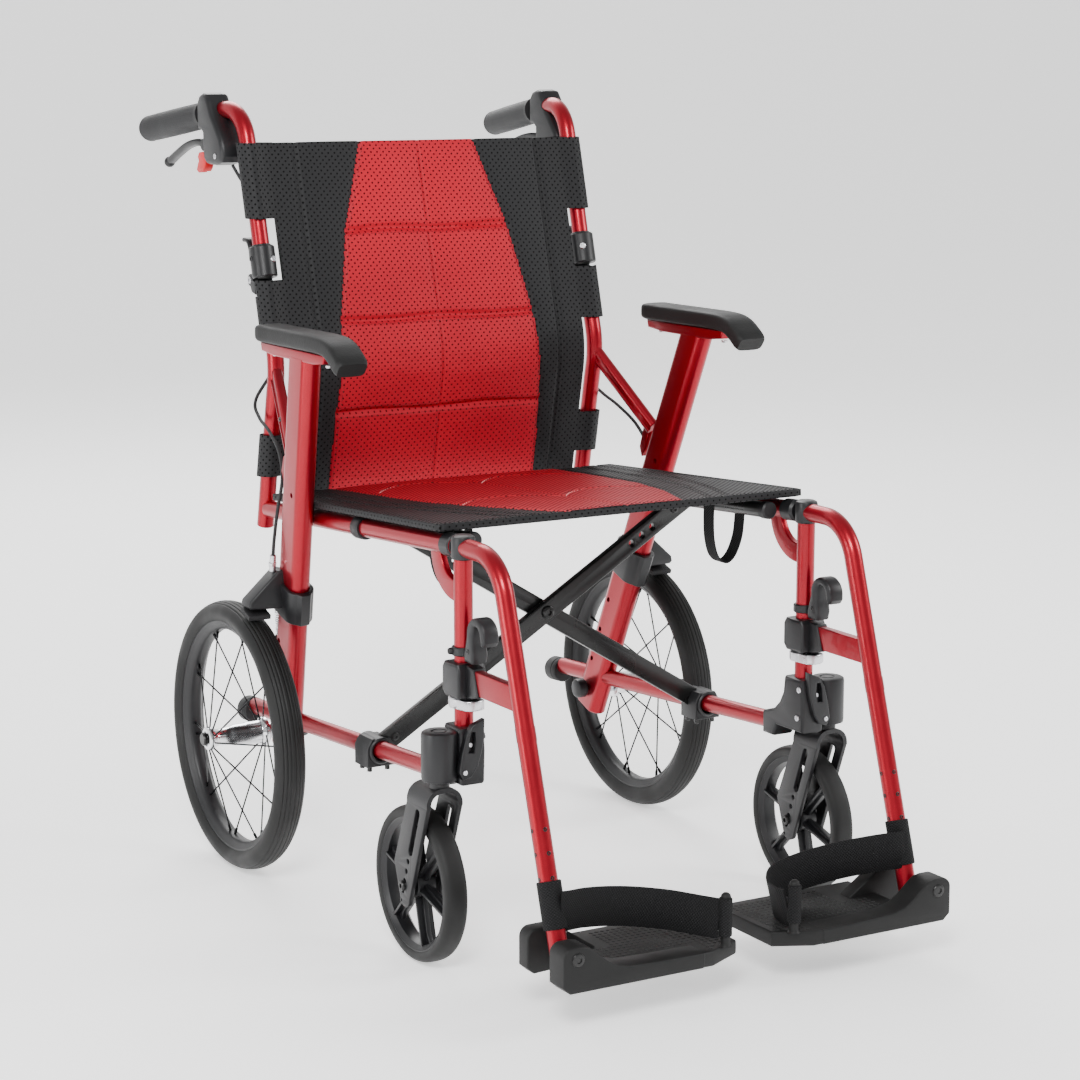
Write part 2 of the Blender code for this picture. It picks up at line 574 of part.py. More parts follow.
def cross_arm(side, label):
    """Arm from one lower rail up to the seat tube of the other side."""
    y = CROSS_Y + side * 0.0062
    low = Vector((side * FRAME_X, y + AXLE_Y, rail_z(CROSS_Y)))
    high = Vector((-side * SEAT_TUBE_X, y + AXLE_Y, SEAT_TUBE_Z))
    along = (high - low).normalized()
    start, end = low + along * 0.012, high
    bar = prism(f"cross_arm_{label}", STEEL, [(-0.0055, -0.0125), (0.0055, -0.0125), (0.0055, 0.0125),
                                             (-0.0055, 0.0125)], (end - start).length,
                basis((0, 1, 0), along.cross(Vector((0, 1, 0))), (start + end) / 2))
    sleeve = rod("sleeve", STEEL, at(side, FRAME_X, CROSS_Y - 0.022, rail_z(CROSS_Y)),
                 at(side, FRAME_X, CROSS_Y + 0.022, rail_z(CROSS_Y)), 0.0165, 18)
    front, rear = -0.462, -0.035
    seat_tube = rod("seat_tube", STEEL,
                    at(-side, SEAT_TUBE_X, front, SEAT_TUBE_Z + (CROSS_Y - front) * RAIL_SLOPE),
                    at(-side, SEAT_TUBE_X, rear, SEAT_TUBE_Z + (CROSS_Y - rear) * RAIL_SLOPE), SEAT_TUBE_R)
    join(bar, sleeve, seat_tube)
    cut(bar, rod("rail_bore", STEEL, at(side, FRAME_X, CROSS_Y - 0.04, rail_z(CROSS_Y)),
                 at(side, FRAME_X, CROSS_Y + 0.04, rail_z(CROSS_Y)), 0.0130, 18))
    middle = Vector((0, CROSS_Y + AXLE_Y, CROSS_Z))
    if side < 0:
        join(bar, rod("bolt", CHROME, middle - Vector((0, 0.016, 0)), middle + Vector((0, 0.017, 0)), 0.005, 12))
    else:
        cut(bar, rod("bolt_hole", CHROME, middle - Vector((0, 0.03, 0)), middle + Vector((0, 0.03, 0)), 0.0056, 12))


# Upholstery

def sling(name, outline, half_width):
    prism(name, FABRIC, outline, 2 * half_width, basis((0, 1, 0), (0, 0, 1), (0, AXLE_Y, 0)))


def upholstery():
    thickness = 0.008
    top = [(-0.460, 0.5170), (-0.005, 0.4882)]
    sling("seat_sling", top + [(y, z - thickness) for y, z in reversed(top)], 0.251)
    levels = (0.472, 0.575, 0.65, 0.70, 0.755)
    front = [(post_y(z) - 0.010, z) for z in levels]
    sling("back_lower", front + [(y + thickness, z) for y, z in reversed(front)], 0.2210)
    front = [(post_y(z) - 0.010, z) for z in (0.7585, 0.929)]
    sling("back_upper", front + [(y + thickness, z) for y, z in reversed(front)], 0.2210)


for label, side in SIDES:
    for piece in (lower_rail, seat_rail, strut, back_post, hinge_bracket, arm_pad, rear_wheel, caster,
                  caster_housing, hanger, latch_lever, footplate, heel_strap, brake_block, brake_shoe,
                  brake_cable, back_cane, cane_collar, fold_lever, lever_housing, brake_lever,
                  lock_latch, cross_arm):
        piece(side, label)
upholstery()
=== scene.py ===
"""Looks of a folding transit wheelchair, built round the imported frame.

Metres, the frame's own axes. Side pieces are written once, with y from the rear axle, and `at`
places them on either side (right is the seated person's, x < 0)."""

import math

import bmesh
import bpy
from mathutils import Matrix, Vector, noise


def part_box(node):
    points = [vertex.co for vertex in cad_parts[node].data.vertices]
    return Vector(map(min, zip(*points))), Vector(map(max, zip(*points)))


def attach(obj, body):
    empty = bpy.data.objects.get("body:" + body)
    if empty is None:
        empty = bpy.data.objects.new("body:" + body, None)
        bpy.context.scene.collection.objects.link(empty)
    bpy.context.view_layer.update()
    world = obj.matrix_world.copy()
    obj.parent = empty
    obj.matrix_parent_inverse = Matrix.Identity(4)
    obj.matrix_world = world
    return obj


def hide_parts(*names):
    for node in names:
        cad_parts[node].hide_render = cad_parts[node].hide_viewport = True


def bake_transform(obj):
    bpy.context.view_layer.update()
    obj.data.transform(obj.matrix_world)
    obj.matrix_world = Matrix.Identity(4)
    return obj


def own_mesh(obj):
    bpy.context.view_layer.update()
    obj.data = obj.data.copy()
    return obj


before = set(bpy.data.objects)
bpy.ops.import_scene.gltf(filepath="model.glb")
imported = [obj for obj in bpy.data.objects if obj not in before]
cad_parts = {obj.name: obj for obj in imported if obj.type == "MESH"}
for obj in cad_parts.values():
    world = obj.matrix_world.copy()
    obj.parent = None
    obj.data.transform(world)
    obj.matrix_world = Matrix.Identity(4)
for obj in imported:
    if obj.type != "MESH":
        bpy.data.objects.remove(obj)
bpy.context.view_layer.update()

SIDES = (("right", -1), ("left", 1))


def middle(node):
    low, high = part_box(node)
    return (Vector(low) + Vector(high)) / 2


# Places read from the frame
AXLE = middle("rear_tyre_left")
AXLE_Y, WHEEL_R, WHEEL_X = AXLE.y, AXLE.z, AXLE.x
CASTER = middle("caster_tyre_left")
CASTER_X, CASTER_Y, CASTER_R = CASTER.x, CASTER.y - AXLE_Y, CASTER.z
FRAME_X = middle("lower_rail_left").x

# Design lines that the frame's tubes follow
TUBE_R = 0.011
RAIL_SLOPE = 0.0634
LOWER_RAIL_Z, SEAT_RAIL_Z = 0.1923, 0.463
UPRIGHT_Y, STEM_Y = -0.493, -0.496
CROSS_Y, CROSS_Z = -0.264, 0.3547
SEAT_TUBE_X, SEAT_TUBE_Z = 0.206, 0.481
STRUT_FOOT, STRUT_HEAD = Vector((0.233, 0.004, 0.148)), Vector((0.2844, -0.183, 0.6925))
HINGE_Y, HINGE_Z = 0.049, 0.757
FOOT_PIVOT_Z = 0.084
HANGER_SLOPE = 0.315
POST_LEAN, CANE_LEAN, BEND_Z = 0.204, 0.27, 0.65


def at(side, x, y, z):
    return Vector((side * x, y + AXLE_Y, z))


def rail_z(y):
    return LOWER_RAIL_Z - y * RAIL_SLOPE


def seat_rail_z(y):
    return SEAT_RAIL_Z - y * RAIL_SLOPE


def post_y(z):
    return 0.003 + ((BEND_Z - z) * POST_LEAN if z < BEND_Z else (z - BEND_Z) * CANE_LEAN)


def tube_y(z):
    """The hanger's sloping tube."""
    return -0.594 - (0.44 - z) * HANGER_SLOPE


# Materials

def nodes_of(name, colour, roughness, metallic=0.0, coat=0.0, specular=0.5):
    made = bpy.data.materials.new(name)
    made.use_nodes = True
    tree = made.node_tree
    shader = tree.nodes["Principled BSDF"]
    shader.inputs["Base Color"].default_value = (*colour, 1)
    shader.inputs["Roughness"].default_value = roughness
    shader.inputs["Metallic"].default_value = metallic
    shader.inputs["Coat Weight"].default_value = coat
    shader.inputs["Coat Roughness"].default_value = 0.06
    shader.inputs["Specular IOR Level"].default_value = specular
    made.diffuse_color = (*colour, 1)
    return made, tree, shader


class Graph:
    """Short names for the nodes that the materials share."""

    def __init__(self, tree):
        self.tree = tree

    def node(self, kind, **inputs):
        made = self.tree.nodes.new(kind)
        for key, value in inputs.items():
            self.put(made.inputs[key.replace("_", " ")], value)
        return made

    def put(self, socket, value):
        if isinstance(value, bpy.types.NodeSocket):
            self.tree.links.new(value, socket)
        else:
            socket.default_value = value

    def math(self, operation, a, b=0.0):
        made = self.tree.nodes.new("ShaderNodeMath")
        made.operation = operation
        self.put(made.inputs[0], a)
        self.put(made.inputs[1], b)
        return made.outputs[0]

    def place(self, kind="Object"):
        return self.node("ShaderNodeTexCoord").outputs[kind]

    def noise(self, scale, detail=4.0, kind="Object"):
        made = self.node("ShaderNodeTexNoise", Vector=self.place(kind), Scale=scale, Detail=detail)
        return made.outputs["Fac"]

    def ramp(self, value, low, high, from_low=0.0, from_high=1.0):
        made = self.node("ShaderNodeMapRange", Value=value)
        for key, number in (("From Min", from_low), ("From Max", from_high), ("To Min", low),
                            ("To Max", high)):
            made.inputs[key].default_value = number
        return made.outputs["Result"]

    def mix(self, factor, a, b):
        made = self.tree.nodes.new("ShaderNodeMix")
        made.data_type = "RGBA"
        self.put(made.inputs[0], factor)
        for socket, colour in ((made.inputs[6], a), (made.inputs[7], b)):
            self.put(socket, colour if isinstance(colour, bpy.types.NodeSocket) else (*colour, 1))
        return made.outputs[2]

    def bump(self, shader, height, strength, distance=0.001):
        made = self.node("ShaderNodeBump", Height=height, Strength=strength, Distance=distance)
        self.put(shader.inputs["Normal"], made.outputs["Normal"])


def red_paint():
    made, tree, shader = nodes_of("red_metallic_paint", (0.3, 0.002, 0.01), 0.34, 0.78, 0.22)
    g = Graph(tree)
    flake = g.noise(2600.0, 1.0)
    cloud = g.noise(9.0)
    colour = g.mix(g.ramp(flake, 0.0, 1.0, 0.35, 0.7), (0.24, 0.001, 0.009), (0.4, 0.004, 0.018))
    g.put(shader.inputs["Base Color"], g.mix(g.ramp(cloud, 0.0, 0.25, 0.4, 0.7), colour,
                                             (0.21, 0.001, 0.008)))
    g.put(shader.inputs["Roughness"], g.ramp(g.noise(60.0), 0.29, 0.41))
    g.bump(shader, flake, 0.06, 0.0002)
    return made


def moulded(name, colour, roughness, grain=900.0, strength=0.25, specular=0.4):
    """Fine spark-eroded grain on a moulding, with slightly rubbed, shinier patches."""
    made, tree, shader = nodes_of(name, colour, roughness, specular=specular)
    g = Graph(tree)
    wear = g.noise(14.0)
    light = tuple(min(1, c * 1.6 + 0.002) for c in colour)
    g.put(shader.inputs["Base Color"], g.mix(g.ramp(wear, 0.0, 0.5, 0.45, 0.75), colour, light))
    g.put(shader.inputs["Roughness"], g.ramp(wear, roughness - 0.07, roughness + 0.07, 0.3, 0.7))
    g.bump(shader, g.noise(grain, 2.0), strength, 0.0004)
    return made


def grip_rubber():
    """Soft rubber with a knurl of small raised cells."""
    made, tree, shader = nodes_of("grip_rubber", (0.01, 0.01, 0.011), 0.6, specular=0.4)
    g = Graph(tree)
    cells = g.node("ShaderNodeTexVoronoi", Vector=g.place("UV"), Scale=420.0, Randomness=0.25)
    g.put(shader.inputs["Roughness"], g.ramp(g.noise(30.0), 0.55, 0.72))
    g.bump(shader, cells.outputs["Distance"], 0.55, 0.0006)
    return made


def tyre_rubber():
    made, tree, shader = nodes_of("tyre_rubber", (0.006, 0.006, 0.006), 0.55, specular=0.35)
    g = Graph(tree)
    dust = g.noise(22.0, 6.0)
    g.put(shader.inputs["Base Color"], g.mix(g.ramp(dust, 0.0, 0.6, 0.5, 0.8), (0.005, 0.005, 0.005),
                                             (0.014, 0.014, 0.013)))
    g.put(shader.inputs["Roughness"], g.ramp(dust, 0.5, 0.72, 0.3, 0.7))
    g.bump(shader, g.noise(480.0, 3.0), 0.18, 0.0004)
    return made


def metal(name, colour, roughness, scratch=0.05):
    made, tree, shader = nodes_of(name, colour, roughness, 1.0)
    g = Graph(tree)
    g.put(shader.inputs["Roughness"], g.ramp(g.noise(120.0), roughness - scratch, roughness + scratch))
    g.bump(shader, g.noise(700.0, 2.0), 0.04, 0.0002)
    return made


def vinyl(name, colour, hole_shade, hole):
    """Perforated leathercloth: a staggered grid of punched holes and a fine leather grain. The holes get a
    near-black colour, which is painted shade inside them.
    """
    made, tree, shader = nodes_of(name, colour, 0.58, specular=0.2)
    g = Graph(tree)
    pitch = 0.0088
    uv = g.place("UV")
    distances = []
    for shift in (0.0, 0.5):
        scaled = g.node("ShaderNodeVectorMath")
        scaled.operation = "MULTIPLY_ADD"
        g.put(scaled.inputs[0], uv)
        scaled.inputs[1].default_value = (1 / pitch, 1 / pitch, 0)
        scaled.inputs[2].default_value = (shift, shift, 0)
        wrapped = g.node("ShaderNodeVectorMath")
        wrapped.operation = "FRACTION"
        g.put(wrapped.inputs[0], scaled.outputs[0])
        centred = g.node("ShaderNodeVectorMath")
        centred.operation = "DISTANCE"
        g.put(centred.inputs[0], wrapped.outputs[0])
        centred.inputs[1].default_value = (0.5, 0.5, 0)
        distances.append(centred.outputs["Value"])
    nearest = g.math("MINIMUM", *distances)
    solid = g.ramp(nearest, 0.0, 1.0, hole - 0.025, hole + 0.025)
    grain = g.noise(650.0, 3.0)
    tone = g.mix(g.ramp(g.noise(7.0), 0.0, 0.5, 0.35, 0.7), colour, tuple(c * 0.72 for c in colour))
    # painted shade: the punched holes are coloured near-black, standing in for the shade inside them
    g.put(shader.inputs["Base Color"], g.mix(solid, hole_shade, tone))
    g.put(shader.inputs["Roughness"], g.mix(solid, (1, 1, 1), g.ramp(grain, 0.48, 0.66)))
    g.bump(shader, g.math("ADD", g.math("MULTIPLY", solid, 1.0), g.math("MULTIPLY", grain, 0.18)),
           0.5, 0.0008)
    return made


def webbing():
    """Woven polyester: ribs along the band with a finer weft across."""
    made, tree, shader = nodes_of("webbing_weave", (0.008, 0.008, 0.009), 0.7)
    shader.inputs["Specular IOR Level"].default_value = 0.15
    g = Graph(tree)
    parts = g.node("ShaderNodeSeparateXYZ", Vector=g.place("UV"))
    warp = g.math("SINE", g.math("MULTIPLY", parts.outputs[0], 2 * math.pi / 0.0042))
    weft = g.math("SINE", g.math("MULTIPLY", parts.outputs[1], 2 * math.pi / 0.0034))
    weave = g.math("MULTIPLY", warp, weft)
    g.put(shader.inputs["Base Color"], g.mix(g.ramp(weave, 0.0, 1.0, -1.0, 1.0), (0.002, 0.002, 0.002),
                                             (0.014, 0.014, 0.015)))
    g.bump(shader, weave, 0.7, 0.0006)
    return made


RED = red_paint()
PLASTIC = moulded("black_plastic", (0.006, 0.006, 0.007), 0.42)
FOOT = moulded("footplate_plastic", (0.008, 0.008, 0.008), 0.55, 700.0, 0.35, 0.25)
PAD = moulded("armrest_skin", (0.009, 0.009, 0.009), 0.58, 420.0, 0.6, 0.25)
STEEL = moulded("black_steel", (0.005, 0.005, 0.005), 0.28, 300.0, 0.08)
LATCH_RED = moulded("red_plastic", (0.5, 0.004, 0.008), 0.38, 800.0, 0.15)
GRIP = grip_rubber()
TYRE = tyre_rubber()
CHROME = metal("chrome", (0.78, 0.79, 0.81), 0.14)
ZINC = metal("zinc_bolts", (0.62, 0.62, 0.64), 0.28)
SPOKE = metal("black_spokes", (0.012, 0.012, 0.013), 0.35)
BLACK_VINYL = vinyl("black_perforated_vinyl", (0.014, 0.014, 0.015), (0.0003, 0.0003, 0.0003), 0.14)
SEAT_BLACK = vinyl("seat_black_vinyl", (0.014, 0.014, 0.015), (0.0003, 0.0003, 0.0003), 0.19)
RED_VINYL = vinyl("red_perforated_vinyl", (0.42, 0.003, 0.016), (0.012, 0.0004, 0.001), 0.13)
SEAT_RED = vinyl("seat_red_vinyl", (0.44, 0.003, 0.014), (0.012, 0.0004, 0.001), 0.19)
WEBBING = webbing()
THREAD_DARK = moulded("dark_thread", (0.012, 0.012, 0.012), 0.8)
THREAD_RED = moulded("pale_thread", (0.9, 0.3, 0.3), 0.6)

ORIGIN = Vector((0, 0, 0))


# Mesh helpers

def arc(centre, radius, start, end, steps):
    angles = [math.radians(start + (end - start) * i / steps) for i in range(steps + 1)]
    return [(centre[0] + radius * math.cos(a), centre[1] + radius * math.sin(a)) for a in angles]


def circle(radius, steps=32):
    return arc((0, 0), radius, 0, 360 - 360 / steps, steps - 1)


def stadium(length, width, steps=12):
    half = (length - width) / 2
    return arc((half, 0), width / 2, -90, 90, steps) + arc((-half, 0), width / 2, 90, 270, steps)


def rounded(points, radius, steps=12):
    """A path in space with its inner corners rounded."""
    points = [Vector(p) for p in points]
    path = [points[0]]
    for before, corner, after in zip(points, points[1:], points[2:]):
        back, ahead = (before - corner).normalized(), (after - corner).normalized()
        half_angle = back.angle(ahead) / 2
        reach = radius / math.tan(half_angle)
        centre = corner + (back + ahead).normalized() * (radius / math.sin(half_angle))
        start, end = corner + back * reach - centre, corner + ahead * reach - centre
        turn = start.rotation_difference(end)
        for i in range(steps + 1):
            path.append(centre + Matrix.Rotation(turn.angle * i / steps, 3, turn.axis) @ start)
    return path + [points[-1]]


def smooth_path(points, steps=8):
    """A Catmull-Rom curve through the points."""
    points = [Vector(p) for p in points]
    points = [points[0] * 2 - points[1]] + points + [points[-1] * 2 - points[-2]]
    path = []
    for a, b, c, d in zip(points, points[1:], points[2:], points[3:]):
        for i in range(steps):
            t = i / steps
            path.append(((2 * b) + (c - a) * t + (2 * a - 5 * b + 4 * c - d) * t * t
                         + (3 * b - a - 3 * c + d) * t ** 3) / 2)
    return path + [points[-2]]


def keep(bm, name, looks, angle=35):
    """Turns a bmesh into a piece of the object."""
    mesh = bpy.data.meshes.new(name)
    bm.to_mesh(mesh)
    bm.free()
    mesh.shade_smooth()
    mesh.set_sharp_from_angle(angle=math.radians(angle))
    for look in looks if isinstance(looks, (list, tuple)) else [looks]:
        mesh.materials.append(look)
    made = bpy.data.objects.new(name, mesh)
    bpy.context.scene.collection.objects.link(made)
    return made


def skin(rings, around=(), along=()):
    """Joins closed rings of points and caps both ends, with a UV map in metres where its lines are given."""
    bm = bmesh.new()
    uv = bm.loops.layers.uv.new("UVMap") if around else None
    rings = [[bm.verts.new(point) for point in ring] for ring in rings]
    count = len(rings[0])
    for i in range(len(rings) - 1):
        for j in range(count):
            k = (j + 1) % count
            face = bm.faces.new((rings[i][j], rings[i][k], rings[i + 1][k], rings[i + 1][j]))
            if around:
                for loop, (a, b) in zip(face.loops, ((j, i), (j + 1, i), (j + 1, i + 1), (j, i + 1))):
                    loop[uv].uv = (around[a], along[b])
    bm.faces.new(rings[0])
    bm.faces.new(rings[-1])
    bmesh.ops.recalc_face_normals(bm, faces=bm.faces)
    return bm


def girth(section):
    """Distances round a closed section, one for each point and the last for the way back."""
    lengths = [0.0]
    for a, b in zip(section, section[1:] + section[:1]):
        lengths.append(lengths[-1] + math.dist(a, b))
    return lengths


def sweep(name, look, path, section, up=None, bevel=0.0, angle=35):
    """A section carried along a path, with its ends closed and a UV map in metres."""
    path = [Vector(p) for p in path]
    tangents = [(path[min(i + 1, len(path) - 1)] - path[max(i - 1, 0)]).normalized()
                for i in range(len(path))]
    side = up or (Vector((1, 0, 0)) if abs(tangents[0].x) < 0.9 else Vector((0, 1, 0)))
    side = (side - tangents[0] * side.dot(tangents[0])).normalized()
    sides = []
    for i, tangent in enumerate(tangents):
        if i:
            side = tangents[i - 1].rotation_difference(tangent) @ side
            side = (side - tangent * side.dot(tangent)).normalized()
        sides.append(side)
    places = list(zip(path, tangents, sides))
    scales = [1.0] * len(places)
    if bevel:
        size = max(math.hypot(*p) for p in section)
        first, last = places[0], places[-1]
        places = [first, (first[0] + first[1] * bevel, *first[1:])] + places[1:-1] + [
            (last[0] - last[1] * bevel, *last[1:]), last]
        scales = [1 - bevel / size] + [1.0] * (len(places) - 2) + [1 - bevel / size]
    rings, along = [], [0.0]
    for i, (place, tangent, across) in enumerate(places):
        if i:
            along.append(along[-1] + (place - places[i - 1][0]).length)
        other = tangent.cross(across)
        rings.append([place + (across * u + other * v) * scales[i] for u, v in section])
    return keep(skin(rings, girth(section), along), name, look, angle)


def rod(name, look, start, end, radius, bevel=0.0008, steps=32):
    return sweep(name, look, [start, end], circle(radius, steps), bevel=bevel)


def turned(name, look, profile, centre, axis="X", steps=64, closed=False):
    """A (radius, offset) profile turned about an axis through centre. Offsets run along the axis."""
    bm = bmesh.new()
    rings = []
    for i in range(steps):
        a = 2 * math.pi * i / steps
        c, s = math.cos(a), math.sin(a)
        ring = []
        for r, h in profile:
            point = {"X": (h, r * c, r * s), "Y": (r * s, h, r * c), "Z": (r * c, r * s, h)}[axis]
            ring.append(bm.verts.new(Vector(point) + centre))
        rings.append(ring)
    count = len(profile)
    for i in range(steps):
        a, b = rings[i], rings[(i + 1) % steps]
        for j in range(count if closed else count - 1):
            k = (j + 1) % count
            bm.faces.new((a[j], b[j], b[k], a[k]))
    if not closed:
        for j in (0, count - 1):
            if profile[j][0] > 0.00001:
                bm.faces.new([ring[j] for ring in rings])
    bmesh.ops.remove_doubles(bm, verts=bm.verts, dist=0.000005)
    bmesh.ops.recalc_face_normals(bm, faces=bm.faces)
    return keep(bm, name, look)


def basis(u, v, origin):
    u, v = Vector(u).normalized(), Vector(v).normalized()
    turn = Matrix((u, v, u.cross(v))).transposed().to_4x4()
    return Matrix.Translation(origin) @ turn


def plate(name, look, outlines, thickness, matrix, bevel=0.0008):
    """A flat outline, with any holes after it, extruded with rounded edges."""
    curve = bpy.data.curves.new(name, "CURVE")
    curve.dimensions = "2D"
    curve.fill_mode = "BOTH"
    curve.extrude = max(thickness / 2 - bevel, 0.0001)
    curve.bevel_depth = bevel
    curve.bevel_resolution = 2
    curve.offset = -bevel
    for outline in outlines:
        spline = curve.splines.new("POLY")
        spline.points.add(len(outline) - 1)
        for point, (u, v) in zip(spline.points, outline):
            point.co = (u, v, 0, 1)
        spline.use_cyclic_u = True
    guide = bpy.data.objects.new(name + "_curve", curve)
    bpy.context.scene.collection.objects.link(guide)
    bpy.context.view_layer.update()
    mesh = bpy.data.meshes.new_from_object(guide.evaluated_get(bpy.context.evaluated_depsgraph_get()))
    bm = bmesh.new()
    bm.from_mesh(mesh)
    bpy.data.objects.remove(guide, do_unlink=True)
    bmesh.ops.transform(bm, matrix=matrix, verts=bm.verts)
    bmesh.ops.remove_doubles(bm, verts=bm.verts, dist=0.00001)
    bmesh.ops.recalc_face_normals(bm, faces=bm.faces)
    return keep(bm, name, look, 30)


def side_plate(name, look, outlines, thickness, side, x, bevel=0.0008):
    return plate(name, look, outlines, thickness,
                 basis((0, 1, 0), (0, 0, 1), (side * x, AXLE_Y, 0)), bevel)


def cross_plate(name, look, side, outlines, near, far, bevel=0.0008):
    """Outlines of (x, z) points, extruded in y."""
    flipped = [[(side * x, z) for x, z in outline] for outline in outlines]
    return plate(name, look, flipped, far - near,
                 basis((1, 0, 0), (0, 0, 1), (0, (near + far) / 2 + AXLE_Y, 0)), bevel)


def bolt(name, look, centre, normal, radius, height=0.003):
    """A domed socket-head bolt whose head stands on centre."""
    normal = Vector(normal).normalized()
    turn = normal.to_track_quat("Z", "Y").to_matrix().to_4x4()
    profile = [(radius * 0.42, height * 0.35), (radius * 0.45, height), (radius * 0.72, height),
               (radius * 0.93, height * 0.72), (radius, height * 0.3), (radius, 0)]
    made = turned(name, look, [(0.00001, height * 0.35)] + profile, ORIGIN, "Z", 20)
    made.data.transform(Matrix.Translation(centre) @ turn)
    return made


def merge(name, pieces):
    """Joins pieces into one object, keeping their materials."""
    bm = bmesh.new()
    looks = []
    for piece in pieces:
        before = len(bm.faces)
        bm.from_mesh(piece.data)
        bm.faces.ensure_lookup_table()
        slots = []
        for look in piece.data.materials:
            if look not in looks:
                looks.append(look)
            slots.append(looks.index(look))
        for face in bm.faces[before:]:
            face.material_index = slots[min(face.material_index, len(slots) - 1)]
        bpy.data.objects.remove(piece, do_unlink=True)
    return keep(bm, name, looks)


def cut(piece, tool):
    """Cuts a closed tool out of a piece and removes the tool."""
    modifier = piece.modifiers.new("cut", "BOOLEAN")
    modifier.operation = "DIFFERENCE"
    modifier.solver = "EXACT"
    modifier.object = tool
    bpy.context.view_layer.update()
    evaluated = piece.evaluated_get(bpy.context.evaluated_depsgraph_get())
    mesh = bpy.data.meshes.new_from_object(evaluated)
    piece.modifiers.clear()
    piece.data = mesh
    mesh.shade_smooth()
    mesh.set_sharp_from_angle(angle=math.radians(35))
    bpy.data.objects.remove(tool, do_unlink=True)


def dress(piece, body, slot, *nodes):
    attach(piece, body)
    if nodes:
        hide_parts(*nodes)
    return piece


# Side frames

def rails(side, label):
    body = f"frame_{label}"
    front = -0.452
    lower = sweep("lower", RED, [at(side, FRAME_X, y, rail_z(y)) for y in (0.0868, front)], circle(TUBE_R))
    dress(merge(f"lower_rail_tube_{label}", [lower]), body, "red_paint", f"lower_rail_{label}")
    tip_profile = [(0.00001, 0.115), (0.013, 0.115), (0.0155, 0.1138), (0.017, 0.111), (0.017, 0.0955),
                   (0.0162, 0.0945), (0.0162, 0.0935), (0.017, 0.0925), (0.017, 0.088), (0.0155, 0.0855),
                   (0.00001, 0.0855)]
    tip = turned(f"tipping_tip_{label}", GRIP, tip_profile, ORIGIN, "Y", 40)
    tip.data.transform(Matrix.Translation(at(side, FRAME_X, 0, rail_z(0.1)))
                       @ Matrix.Rotation(-RAIL_SLOPE, 4, "X"))
    dress(tip, body, "rubber")
    rail = sweep("rail", RED, [at(side, FRAME_X, y, seat_rail_z(y)) for y in (0.032, -0.478)], circle(TUBE_R))
    upright = sweep("upright", RED, [at(side, FRAME_X, UPRIGHT_Y, z) for z in (0.24, 0.4805)], circle(TUBE_R))
    hook = (-0.48, 0.488)
    gusset = side_plate("gusset", RED, [arc(hook, 0.0585, -2, -93, 24) + arc(hook, 0.0345, -93, -2, 20)],
                        0.0085, side, FRAME_X, 0.0015)
    stub = sweep("stub", RED, [at(side, FRAME_X, y, seat_rail_z(y) - 0.004) for y in (-0.47, -0.43)],
                 circle(0.008, 16))
    dress(merge(f"seat_rail_tube_{label}", [rail, upright, gusset, stub]), body, "red_paint",
          f"seat_rail_{label}")
    cap = sweep("cap", PLASTIC, [at(side, FRAME_X - 0.001, y, seat_rail_z(y)) for y in (-0.4785, -0.453)],
                circle(0.0135), bevel=0.003)
    collar = turned("collar", PLASTIC, [(0.0112, -0.01), (0.0135, -0.01), (0.0145, -0.008), (0.0145, 0.008),
                                        (0.0135, 0.01), (0.0112, 0.01)], ORIGIN, "Y", 36, True)
    collar.data.transform(Matrix.Translation(at(side, FRAME_X, -0.24, seat_rail_z(-0.24)))
                          @ Matrix.Rotation(-RAIL_SLOPE, 4, "X"))
    dress(merge(f"seat_rail_fittings_{label}", [cap, collar]), body, "black_plastic")


def strut(side, label):
    """Oval strut with its armrest bracket, holes and screws."""
    body = f"frame_{label}"
    foot, head = at(side, *STRUT_FOOT), at(side, *STRUT_HEAD)
    along = (head - foot).normalized()
    fore = (Vector((0, -1, 0)) - along * along.dot(Vector((0, -1, 0)))).normalized()
    top = foot + along * ((0.6795 - foot.z) / along.z)
    bar = sweep("bar", RED, [foot, foot.lerp(top, 0.5), top + along * 0.01], stadium(0.054, 0.026, 16),
                up=fore, bevel=0.002)
    above = cross_plate("above", RED, side, [[(0.2, 0.681), (0.34, 0.681), (0.34, 0.75), (0.2, 0.75)]],
                        -0.3, -0.05, 0.0)
    cut(bar, above)
    out = along.cross(fore)
    if out.x * side <= 0:
        out = -out
    for share, slide in ((0.66, 0.006), (0.28, -0.01), (0.2, -0.01), (0.12, -0.01)):
        centre = foot.lerp(head, share) + fore * slide
        tool = rod("hole", RED, centre - out * 0.05, centre + out * 0.05, 0.0035, 0.0, 16)
        cut(bar, tool)
    bracket = side_plate("bracket", RED, [[(-0.076, 0.6915), (-0.079, 0.681), (-0.115, 0.678),
                                           (-0.225, 0.678), (-0.253, 0.681), (-0.258, 0.6915)]], 0.026, side,
                         0.283, 0.002)
    dress(merge(f"strut_tube_{label}", [bar, bracket]), body, "red_paint", f"strut_{label}")
    screws = [bolt("screw", ZINC, at(side, 0.283, y, 0.6782), (0, 0, -1), 0.0042) for y in (-0.094, -0.244)]
    nut_end = turned("nut", PLASTIC, [(0.00001, -0.015), (0.009, -0.015), (0.0125, -0.013), (0.0135, -0.01),
                                      (0.0135, -0.002), (0.0115, 0.0), (0.00001, 0.0)], ORIGIN, "X", 12)
    nut_end.data.transform(Matrix.Translation(at(side, 0.22, 0, WHEEL_R)) @ Matrix.Scale(side, 4, (1, 0, 0)))
    if side < 0:
        nut_end.data.flip_normals()
    screws.append(nut_end)
    dress(merge(f"strut_fasteners_{label}", screws), body, "black_steel")


